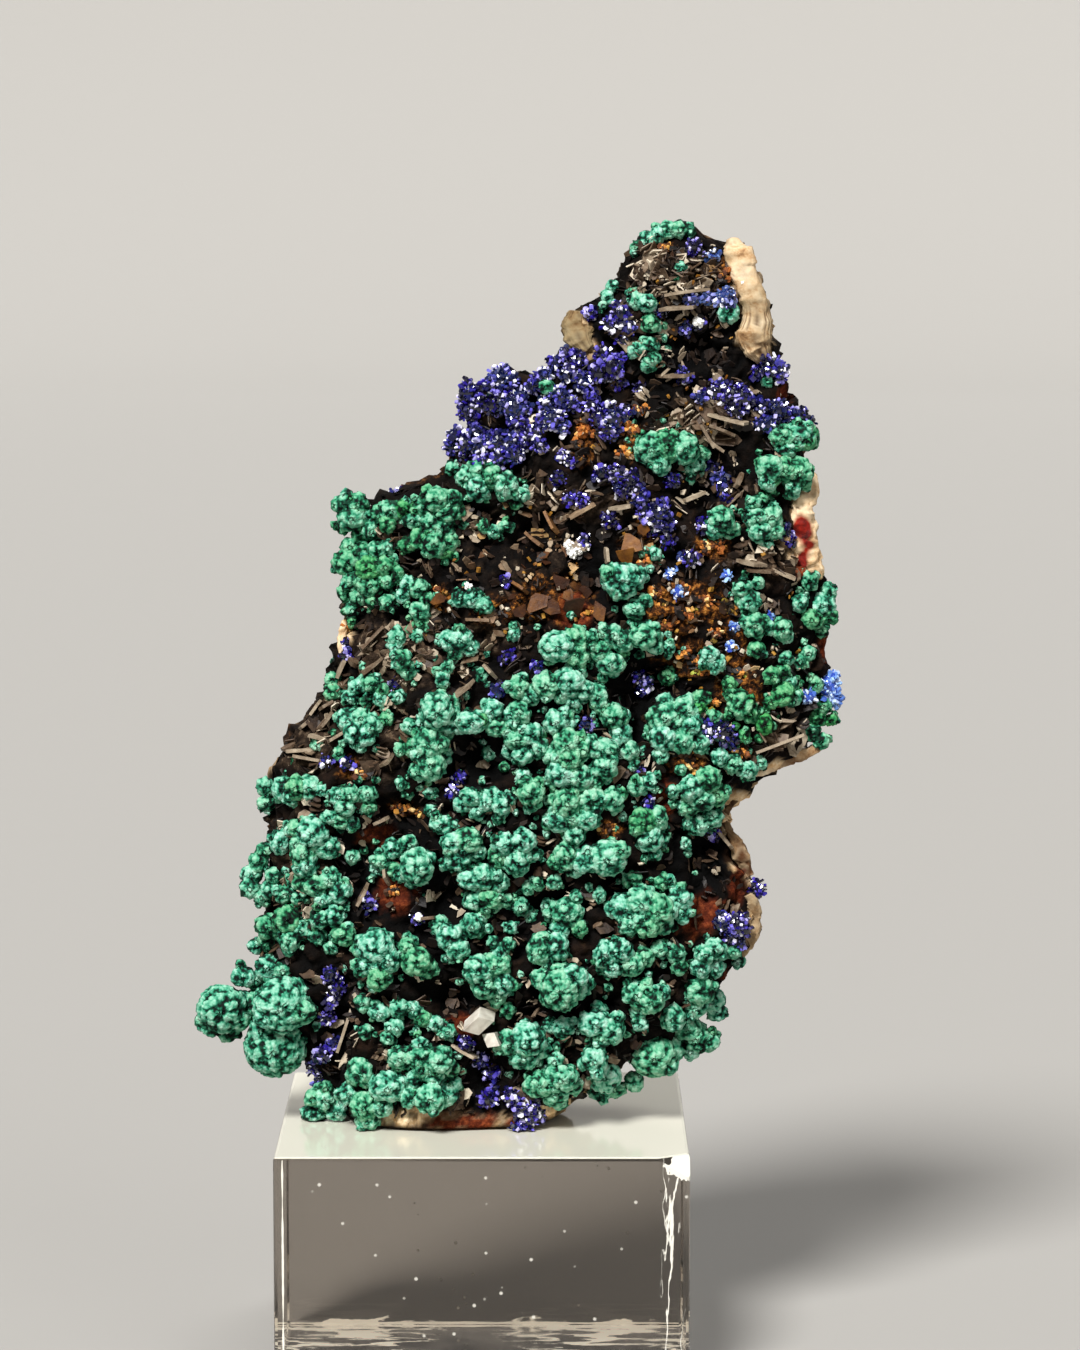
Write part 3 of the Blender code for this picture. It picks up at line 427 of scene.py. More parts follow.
def rockRelief(points):
    # how far each point stands out of the plain form: crags, grit, ledges, broken plates and chips
    look = rockLook
    ledge = smoothNoise(points * (1, 1, 2.2), look["ledgeSize"], 31) * 3
    ledge = (np.floor(ledge) + np.clip((ledge % 1) * 4 - 3, 0, 1)) / 3  # steps with short risers
    crag = look["crag"] * ruggedNoise(points, look["cragSize"], 11)
    grit = look["grit"] * ruggedNoise(points, look["gritSize"], 23)
    relief = crag + grit + look["ledge"] * ledge + look["plate"] * facets(points, look["plateSize"], 41)
    return relief + (look["chip"] * facets(points, look["chipSize"], 43) - look["sink"])


def rockColours(points, relief):
    # shares of the zones' colours, and the painted shade of each point, deeper in hollows and low places,
    # all from 0 to 1
    x, y, z = points.T
    values = {name: zoneShare(x, z, zones, 50 + k, y) for k, (name, zones) in enumerate(rockZones.items())}
    behind = np.clip((y + 1.5 * smoothNoise(points, 2.0, 69)) / 2.5, 0, 1)
    for k, name in enumerate(rockZones):  # at the back they are scattered patches instead
        patch = smoothNoise(points, 7.0, 70 + k) * 3 + smoothNoise(points, 1.8, 80 + k) * 1.4 - 1.1
        values[name] = values[name] * (1 - behind) + 0.8 * np.clip(patch, 0, 1) * behind
    values["pale"] = np.maximum(values["pale"], 0.6 * behind)
    sunk = np.zeros(len(points))
    for *spot, depth in hollows:
        sunk += bell(x, z, spot) * depth / rockLook["fullShadeDepth"]
    stained = np.maximum(values["red"], values["ochre"])
    # painted shade, strongest deep in a hollow and where the relief is low, weaker on stained places
    values["hollow"] = np.clip(sunk * (1 - behind) + 0.5 - relief, 0, 1) * (1 - 0.5 * stained)
    return values


def makeRock():
    grid = rockSurface()
    rows, columns = grid.shape[:2]
    points, outward = grid.reshape(-1, 3), outwardWays(grid).reshape(-1, 3)
    relief = rockRelief(points)
    low, high = rockSections[[0, -1], 0]
    eased = np.clip((points[:, 2] - low) / 2, 0, 1) * np.clip((high - points[:, 2]) / 2, 0.2, 1)
    points = points + outward * (relief * eased)[:, None]
    ends = [(0.5 * (x.min() + x.max()), 0, z) for x, z in ((grid[0, :, 0], low), (grid[-1, :, 0], high))]
    points = np.concatenate([points, ends])
    addPiece("limonite_rock_face", points, gridFaces(rows, columns), endFans(rows, columns), rockMaterial(),
             "limonite_rock", values=rockColours(points, np.append(relief, [0, 0])))


makeRock()
print("rock done")


# pale host rock left along the edges: x, z and half width down the middle of each strip
rimPaths = {
    "crest_slab": [
        (23.9, 105.2, 0.1), (23.5, 104.7, 1.0), (23.6, 104.1, 1.35), (23.9, 103.2, 1.25),
        (24.1, 102.2, 1.2), (24.6, 100.9, 1.1), (25.1, 99.7, 1.15), (25.4, 98.6, 1.2), (25.4, 97.4, 1.4),
        (25.1, 96.6, 1.5), (25.2, 95.5, 1.4), (25.8, 94.6, 1.0), (26.4, 93.6, 0.4),
    ],
    "right_rim": [
        (29.9, 84.3, 0.3), (30.3, 83.0, 0.7), (30.5, 81.8, 0.8), (29.8, 80.8, 0.9), (29.5, 79.7, 1.0),
        (29.8, 78.3, 1.1), (29.9, 76.9, 1.1), (30.3, 75.4, 1.1), (30.9, 74.2, 0.9), (31.1, 73.3, 0.5),
    ],
    "under_right": [
        (25.1, 55.6, 0.3), (26.0, 55.9, 0.5), (27.4, 56.2, 0.5), (28.7, 56.5, 0.5), (30.0, 57.0, 0.5),
        (31.2, 57.6, 0.4), (32.1, 58.2, 0.2),
    ],
    "waist": [
        (25.8, 54.6, 0.2), (24.9, 54.1, 0.25), (23.9, 53.0, 0.25), (23.0, 52.0, 0.25), (22.7, 50.9, 0.25),
        (23.1, 49.7, 0.3), (23.8, 48.5, 0.6), (24.2, 47.4, 0.7), (24.7, 46.3, 0.5), (25.1, 45.4, 0.4),
    ],
    "low_rim": [
        (24.8, 44.0, 0.3), (25.2, 43.1, 0.6), (25.4, 41.9, 0.7), (25.4, 40.6, 0.7), (25.0, 39.5, 0.6),
        (24.3, 38.2, 0.5), (23.4, 37.4, 0.4),
    ],
    "left_crest": [
        (8.7, 98.6, 0.5), (8.6, 97.4, 1.1), (8.8, 96.4, 1.2), (9.2, 95.6, 0.9), (9.9, 94.9, 0.5),
    ],
    "left_rim": [(-12.9, 69.7, 0.2), (-13.1, 68.6, 0.4), (-13.2, 67.4, 0.4), (-13.1, 66.2, 0.2)],
}

rimLook = {
    "along": 0.15, "around": 48, "out": 0.3,
    "deep": 0.8,  # depth as a share of the half width
    "square": 0.5,  # power of the section: 1 is round, 0 is square
    "lump": 0.3, "lumpSize": 0.9, "ribs": 17, "ribDepth": 0.06,
    # the crest slab has smaller lumps and broader broken faces
    "slabLump": 0.35, "slabFacets": 0.4, "cleft": 0.3, "cleftSize": 1.7,
}
greyRims = {"left_crest": 0.9, "crest_slab": 0.2, "low_rim": 0.5, "waist": 0.6}
dirtyRims = {"waist": 0.7, "under_right": 0.5, "low_rim": 0.3}


def rimMaterial():
    # weathered host rock: cream and tan, chalky, with iron-red stains, and dirt and painted shade in its
    # grooves
    material, tree = newMaterial("hostRockWeathered")
    stain = noise(tree, objectPlace(tree), 520.0, 6.0, 0.7)
    cream = ramp(tree, stain, [(0.3, "#7A5634"), (0.4, "#BC9468"), (0.5, "#DCBE96"), (0.7, "#E6D2B2")])
    rust = ramp(tree, stain, [(0.35, "#3C0602"), (0.52, "#901604"), (0.7, "#B44210")])
    colour = blend(tree, sums(tree, "MULTIPLY", meshValue(tree, "red"), 1.4, held=True), cream, rust)
    colour = tinted(tree, meshValue(tree, "grey"), colour, "#9B998A")
    # painted shade in the dips between ribs and in low lumps, with dirt laid over some strips
    colour = tinted(tree, meshValue(tree, "grooveShadeAndDirt"), colour, "#6B4D33")
    return finishMaterial(material, {"Base Color": colour, "Normal": bumps(tree, stain, 0.3, 0.7),
                                     "Roughness": 0.75, "Specular IOR Level": 0.25})


def rimLine(path):
    # x, z and half width at even steps down a strip, its corners rounded off
    path = np.array(path)
    run = np.concatenate([[0], np.cumsum(np.linalg.norm(np.diff(path[:, :2], axis=0), axis=1))])
    steps = np.linspace(0, run[-1], max(8, round(run[-1] / rimLook["along"])))
    x, z, half = (np.interp(steps, run, path[:, k]) for k in range(3))
    kernel = np.ones(7) / 7
    x, z = (np.convolve(np.pad(v, 3, mode="edge"), kernel, "valid") for v in (x, z))
    return x, z, half


def rimTube(x, z, half):
    # a closed tube down a strip: points, ways out of it, and the turn of each of its columns
    ways = np.stack([np.gradient(x), np.gradient(z)], axis=1)
    ways /= np.linalg.norm(ways, axis=1, keepdims=True)
    turn = math.tau * np.arange(rimLook["around"]) / rimLook["around"]
    cosine, sine = (np.sign(v) * np.abs(v) ** rimLook["square"] for v in (np.cos(turn), np.sin(turn)))
    across = np.outer(half, cosine)
    y = (rockFront(x, z) - rimLook["out"])[:, None] + rimLook["deep"] * np.outer(half, sine)
    points = np.stack([x[:, None] - ways[:, 1:] * across, y, z[:, None] + ways[:, :1] * across], axis=-1)
    outward = [-ways[:, 1:] * np.cos(turn), 0 * y + np.sin(turn), ways[:, :1] * np.cos(turn)]
    return points.reshape(-1, 3), np.stack(outward, axis=-1).reshape(-1, 3), turn


def ribbedShare(name, steps):
    # how ribbed a strip is at each step: the slab from a third of the way down, the left crest all along
    if name == "crest_slab":
        return np.clip(np.linspace(-1.2, 2.2, steps), 0, 1)
    return np.full(steps, 0.9 if name == "left_crest" else 0.0)


def makeRims():
    look, material = rimLook, rimMaterial()
    for seed, (name, path) in enumerate(rimPaths.items()):
        x, z, half = rimLine(path)
        points, outward, turn = rimTube(x, z, half)
        slab, steps, around = name == "crest_slab", len(x), look["around"]
        ribbed = np.repeat(ribbedShare(name, steps), around)
        phase = np.tile(turn, steps) * look["ribs"] + 2.5 * smoothNoise(points, 3.0, 90 + seed)
        rugged = look["lump"] * (look["slabLump"] if slab else 1)
        broken = look["lump"] * (look["slabFacets"] if slab else 1)
        lump = rugged * ruggedNoise(points, look["lumpSize"], 95 + seed)
        lump += broken * facets(points, look["lumpSize"], 97 + seed)
        lump += look["cleft"] * slab * facets(points, look["cleftSize"], 99 + seed)
        lump *= np.repeat(np.clip(half, 0.2, 1), around)
        points = points + outward * (lump + look["ribDepth"] * ribbed * np.sin(phase))[:, None]
        points = np.concatenate([points, [points[:around].mean(axis=0), points[-around:].mean(axis=0)]])
        ribbed, phase, lump = (np.append(v, [0, 0]) for v in (ribbed, phase, lump))
        # painted shade: darker in the dips between ribs and where lumps sink; dirtyRims adds real dirt on
        # some strips
        grooveShadeAndDirt = -np.sin(phase) * ribbed * 0.8 - lump * 2
        grooveShadeAndDirt += dirtyRims.get(name, 0.0) * (1 + smoothNoise(points, 1.1, 62))
        grey = greyRims.get(name, 0.0) + 0.35 * ribbed + 0.4 * smoothNoise(points, 1.5, 61)
        red = zoneShare(points[:, 0], points[:, 2], rockZones["red"], 60)
        values = {"grooveShadeAndDirt": np.clip(grooveShadeAndDirt, 0, 1), "red": red, "grey": np.clip(grey, 0, 1)}
        addPiece("host_rock_" + name, points, gridFaces(steps, around), endFans(steps, around), material,
                 values=values)


makeRims()
print("rims done")


plateLook = {
    "books": 1900, "rearBooks": 260, "inBook": (1, 4), "heights": (24.0, 104.0),
    "edge": 0.75, "rimGap": 0.7,  # left free along the rock's ends and round the rims
    "anywhere": 0.5,  # chance of a book outside the pale zones
    "level": 0.65, "tilt": 0.9,  # share of the books that lie near level, and how far they tip in radians
    "length": (0.5, 2.6), "width": (0.35, 1.5), "thick": (0.05, 0.14), "gap": (0.22, 0.7),
    "paleSize": 1.35,  # plates in the pale zones are this much larger
    "lean": 1.1, "turn": 0.25,  # how far a book's faces turn to the front, and each plate's own turn
    "cavity": [(4.4, 74.5, 8.0, 5.5), (2.0, 79.0, 3.0, 2.0)], "cavityLean": 2.2,  # where they lie as scales
    "tones": [0.12, 0.3, 0.5, 0.8], "toneShares": [0.35, 0.3, 0.2, 0.15],  # dark to pale, and how common
    # bright crumbs of cream and gold: how many, size, and x, z, half width and half height of their places
    "crumbs": 240, "crumbSize": (0.22, 0.5),
    "crumbled": [
        (17.0, 84.0, 9.0, 7.0), (12.0, 77.0, 9.0, 5.0), (23.0, 72.0, 7.0, 8.0), (20.0, 97.0, 4.0, 6.0),
        (2.0, 72.0, 8.0, 4.0), (24.0, 63.0, 5.0, 4.0),
    ],
    "corners": 6,
    # long and rusty plates: how far their middles stand out of the rock, and their sizes
    "longOut": 0.7, "longWidth": 2.0, "longThick": 0.28, "rustyOut": 1.0, "rustyThick": 0.16,
}

# single long plates: x, z, length, angle from level in degrees
longPlates = [
    (18.9, 100.3, 6.1, 8), (22.9, 88.6, 4.7, -12), (23.8, 83.0, 2.1, 63), (24.8, 75.4, 3.8, -11),
    (28.1, 74.2, 3.0, -21), (8.9, 80.2, 3.5, 29), (4.8, 77.4, 3.3, -38), (8.6, 77.0, 2.9, -18),
    (3.5, 73.2, 2.3, -36), (11.5, 76.0, 2.3, -85), (-10.2, 68.3, 3.4, 46), (-10.4, 65.7, 3.5, 36),
    (-1.7, 63.9, 3.1, 37), (27.6, 58.4, 5.7, 21), (-16.0, 57.0, 4.0, -10), (-9.0, 57.0, 2.3, 37),
    (-13.0, 31.4, 4.9, 72), (-1.8, 29.9, 3.5, -27), (-13.5, 59.2, 3.3, 31), (0.6, 65.6, 2.3, -48),
    (22.6, 49.2, 3.0, -50), (-0.3, 70.2, 2.6, -3), (17.8, 92.6, 4.0, 3), (19.6, 81.5, 3.0, 20),
    (18.0, 98.9, 4.2, 4), (21.4, 86.2, 2.6, -35), (21.9, 87.6, 3.4, -20), (20.8, 87.0, 2.8, -60),
    (25.5, 74.7, 3.6, -5), (12.8, 80.6, 3.0, 10), (6.4, 79.0, 2.8, -60), (-14.8, 60.3, 2.6, 50),
    (-15.7, 61.4, 2.6, 55), (-16.6, 60.0, 2.4, 42), (-14.2, 63.4, 2.4, 64), (-13.3, 65.2, 2.2, 66),
    (-18.2, 57.8, 2.6, 22), (-17.0, 57.7, 3.0, 4), (-15.2, 59.0, 2.8, -15), (-14.6, 61.8, 2.2, 30),
    (-5.2, 42.4, 2.4, 5), (-8.9, 46.0, 2.2, -70), (-11.2, 44.4, 2.6, 60), (-9.4, 51.4, 2.2, 25),
]

# rusty plates lying flat in the cavity: x, z, length, width, turn in degrees, tone
rustyPlates = [
    (5.0, 71.8, 2.6, 2.0, 20, 0.63), (6.4, 71.4, 2.4, 2.2, -30, 0.53), (8.4, 71.4, 2.9, 2.0, 75, 0.38),
    (8.0, 72.4, 1.8, 1.5, 30, 0.58), (10.8, 70.9, 2.3, 1.4, 80, 0.58), (13.8, 77.3, 2.8, 2.4, 85, 0.73),
    (13.4, 76.0, 2.0, 1.8, 20, 0.68), (7.2, 73.6, 1.8, 1.3, -20, 0.43), (3.4, 71.0, 1.9, 1.5, 50, 0.48),
    (9.6, 72.8, 1.8, 1.2, -50, 0.38), (-4.0, 72.2, 1.8, 1.4, 10, 0.58), (14.9, 78.6, 1.4, 1.2, 40, 0.63),
]


def plateMaterial():
    # limonite plates: thin iron-stained sheets grown edge out. Grey-beige edges that catch a dull light
    material, tree = newMaterial("limonitePlates")
    grain = noise(tree, objectPlace(tree), 900.0, 5.0, 0.7)
    tone = mottled(tree, meshValue(tree, "tone"), grain, 0.7, -0.35)
    grey = ramp(tree, tone, [
        (0.0, "#080403"), (0.3, "#24170E"), (0.55, "#5A4634"), (0.8, "#9C8C76"), (1.0, "#CDBFA8")])
    brown = ramp(tree, tone, [(0.2, "#0E0603"), (0.5, "#3E1E07"), (0.75, "#74460E"), (1.0, "#AC7E2E")])
    colour = blend(tree, meshValue(tree, "rust"), grey, brown)
    return finishMaterial(material, {"Base Color": colour, "Normal": bumps(tree, grain, 0.2, 0.8),
                                     "Roughness": 0.55, "Specular IOR Level": 0.35})


def turnedTo(normals, rng):
    # for each normal a frame of three axes, the third along it, turned about it at random
    normals = normals / np.linalg.norm(normals, axis=1, keepdims=True)
    side = np.cross(normals, rng.normal(size=normals.shape))
    side /= np.maximum(np.linalg.norm(side, axis=1, keepdims=True), 1e-9)
    return np.stack([side, np.cross(normals, side), normals], axis=-1)


def frameOf(along, outward):
    # three axes: a plate's length, its width, and the way out of its face
    return np.stack([along, np.cross(outward, along), outward], axis=-1)


def plateSlabs(centres, frames, sizes, rng):
    # slabs with a ragged outline of few points: the outline twice, a thickness apart
    count, corners = len(centres), plateLook["corners"]
    angle = np.arange(corners) * math.tau / corners + rng.uniform(-0.35, 0.35, (count, corners))
    cosine, sine = np.cos(angle), np.sin(angle)
    reach = rng.uniform(0.58, 1.0, (count, corners)) / np.maximum(np.abs(cosine), np.abs(sine))
    flat = np.stack([reach * cosine, reach * sine], axis=-1) * sizes[:, None, :2] / 2
    half = np.broadcast_to(sizes[:, None, 2:] / 2, (count, corners, 1))
    local = np.concatenate([np.concatenate([flat, -half], -1), np.concatenate([flat, half], -1)], axis=1)
    points = np.einsum("nij,nkj->nki", frames, local) + centres[:, None]
    start = (np.arange(count) * 2 * corners)[:, None, None]
    ring = np.arange(corners)
    after = (ring + 1) % corners
    sides = np.stack([ring, after, after + corners, ring + corners], axis=-1)
    fan = np.arange(1, corners - 1)
    lids = np.concatenate([np.stack([0 * fan, fan + 1, fan], -1),
                           np.stack([0 * fan + corners, fan + corners, fan + 1 + corners], -1)])
    return points.reshape(-1, 3), (start + sides).reshape(-1, 4), (start + lids).reshape(-1, 3)


def bookPlaces(rng):
    # x, z, paleness and side of each book: thick in the pale zones, none on the rims or in the notch
    look = plateLook
    z = rng.uniform(*look["heights"], look["books"] * 4)
    left, right, _, _ = sectionAt(z)
    x = rng.uniform(left + look["edge"], right - look["edge"])
    pale = zoneShare(x, z, rockZones["pale"], 3)
    favoured = pale + look["anywhere"] > rng.uniform(0, 1, len(x))
    rims = np.concatenate([np.array(path) for path in rimPaths.values()] + [[rockLook["notch"][:3]]])
    apart = np.hypot(x[:, None] - rims[:, 0], z[:, None] - rims[:, 1]) - rims[:, 2]
    kept = np.flatnonzero(favoured & (apart.min(axis=1) > look["rimGap"]))
    kept = kept[:look["books"] + look["rearBooks"]]
    behind = np.arange(len(kept)) >= look["books"]
    return x[kept], z[kept], 0.3 * pale[kept], behind


def bookPlates(rng):
    # middle, normal, size and tone of each plate in the books
    look = plateLook
    across, heights, paler, behind = bookPlaces(rng)
    scales = zoneShare(across, heights, look["cavity"], 6) * ~behind
    for x, z, pale, scale, back in zip(across, heights, paler, scales, behind):
        tilt = rng.uniform(-look["tilt"], look["tilt"])
        tilt += math.pi / 2 if rng.uniform() < look["level"] else 0
        lean = look["lean"] + (look["cavityLean"] - look["lean"]) * scale
        normal = np.array([math.cos(tilt), rng.normal(0, lean), math.sin(tilt)])
        normal /= np.linalg.norm(normal)
        length, width = rng.uniform(*look["length"]), rng.uniform(*look["width"])
        if pale > 0.15 and not scale:
            length, width = length * look["paleSize"], width * look["paleSize"]
        tone = rng.choice(look["tones"], p=look["toneShares"]) + pale
        step = rng.uniform(*look["gap"])
        for k in range(rng.integers(*look["inBook"])):
            px, pz = x + normal[0] * step * k + rng.normal(0, 0.2), z + normal[2] * step * k
            skin = rockBack(px, pz) if back else rockFront(px, pz)
            centre = (px, float(skin) - (-1 if back else 1) * rng.uniform(0, 0.5), pz)
            turned = normal + rng.normal(0, look["turn"], 3)
            size = (length * rng.uniform(0.6, 1), width, rng.uniform(*look["thick"]))
            yield centre, turned, size, tone + rng.normal(0, 0.1)


def brightCrumbs(rng):
    # middle, normal, size and tone of each bright crumb
    look = plateLook
    for k in range(look["crumbs"]):
        px, pz, halfWidth, halfHeight = look["crumbled"][k % len(look["crumbled"])]
        x, z = px + rng.uniform(-1, 1) * halfWidth, pz + rng.uniform(-1, 1) * halfHeight
        left, right, _, _ = sectionAt(z)
        x = np.clip(x, left + 1, right - 1)
        centre = (x, float(rockFront(x, z)) - rng.uniform(0.2, 0.6), z)
        yield centre, rng.normal(0, 1, 3), rng.uniform(*look["crumbSize"], 3), rng.uniform(0.75, 1.0)


def laidPlates(rng):
    # middle, frame, size and tone of the plates that are placed one by one, the rusty ones last
    look = plateLook
    for x, z, length, angle in longPlates:
        tilt = math.radians(angle)
        above = np.array([-math.sin(tilt), rng.uniform(-0.2, 0.2), math.cos(tilt)])
        above /= np.linalg.norm(above)
        axes = frameOf(np.array([math.cos(tilt), 0, math.sin(tilt)]), above)
        centre = (x, float(rockFront(x, z)) - look["longOut"], z)
        yield centre, axes, (length, look["longWidth"], look["longThick"]), rng.uniform(0.55, 0.8)
    for x, z, length, width, angle, tone in rustyPlates:
        tilt = math.radians(angle)
        along = np.array([math.cos(tilt), 0, math.sin(tilt)])
        outward = np.array([rng.normal(0, 0.25), -1, rng.normal(0, 0.25)])
        along -= outward * (along @ outward) / (outward @ outward)
        axes = frameOf(along / np.linalg.norm(along), outward / np.linalg.norm(outward))
        centre = (x, float(rockFront(x, z)) - look["rustyOut"], z)
        yield centre, axes, (length, width, look["rustyThick"]), tone


def makePlates():
    rng = np.random.default_rng(5)
    books = list(bookPlates(rng))
    crumbs = list(brightCrumbs(rng))
    centres, normals, sizes, tones = (list(column) for column in zip(*books, *crumbs))
    frames = turnedTo(np.array(normals), rng)
    laid = list(zip(*laidPlates(rng)))
    frames = np.concatenate([frames, laid[1]])
    centres, sizes, tones = np.array(centres + [*laid[0]]), np.array(sizes + [*laid[2]]), tones + [*laid[3]]
    rusty = zoneShare(centres[:, 0], centres[:, 2], rockZones["ochre"] + plateLook["cavity"][:1], 8)
    rusty *= rng.uniform(0, 1, len(centres))
    rusty[-len(rustyPlates):] = 1.0
    rusty[len(books):len(books) + len(crumbs)] = rng.integers(0, 2, len(crumbs))
    points, quads, triangles = plateSlabs(centres, frames, sizes, rng)
    each = 2 * plateLook["corners"]
    addPiece("limonite_plates", points, quads, triangles, plateMaterial(), smooth=False,
             values={"tone": np.repeat(np.clip(tones, 0, 1), each), "rust": np.repeat(rusty, each)})


makePlates()
print("plates done")


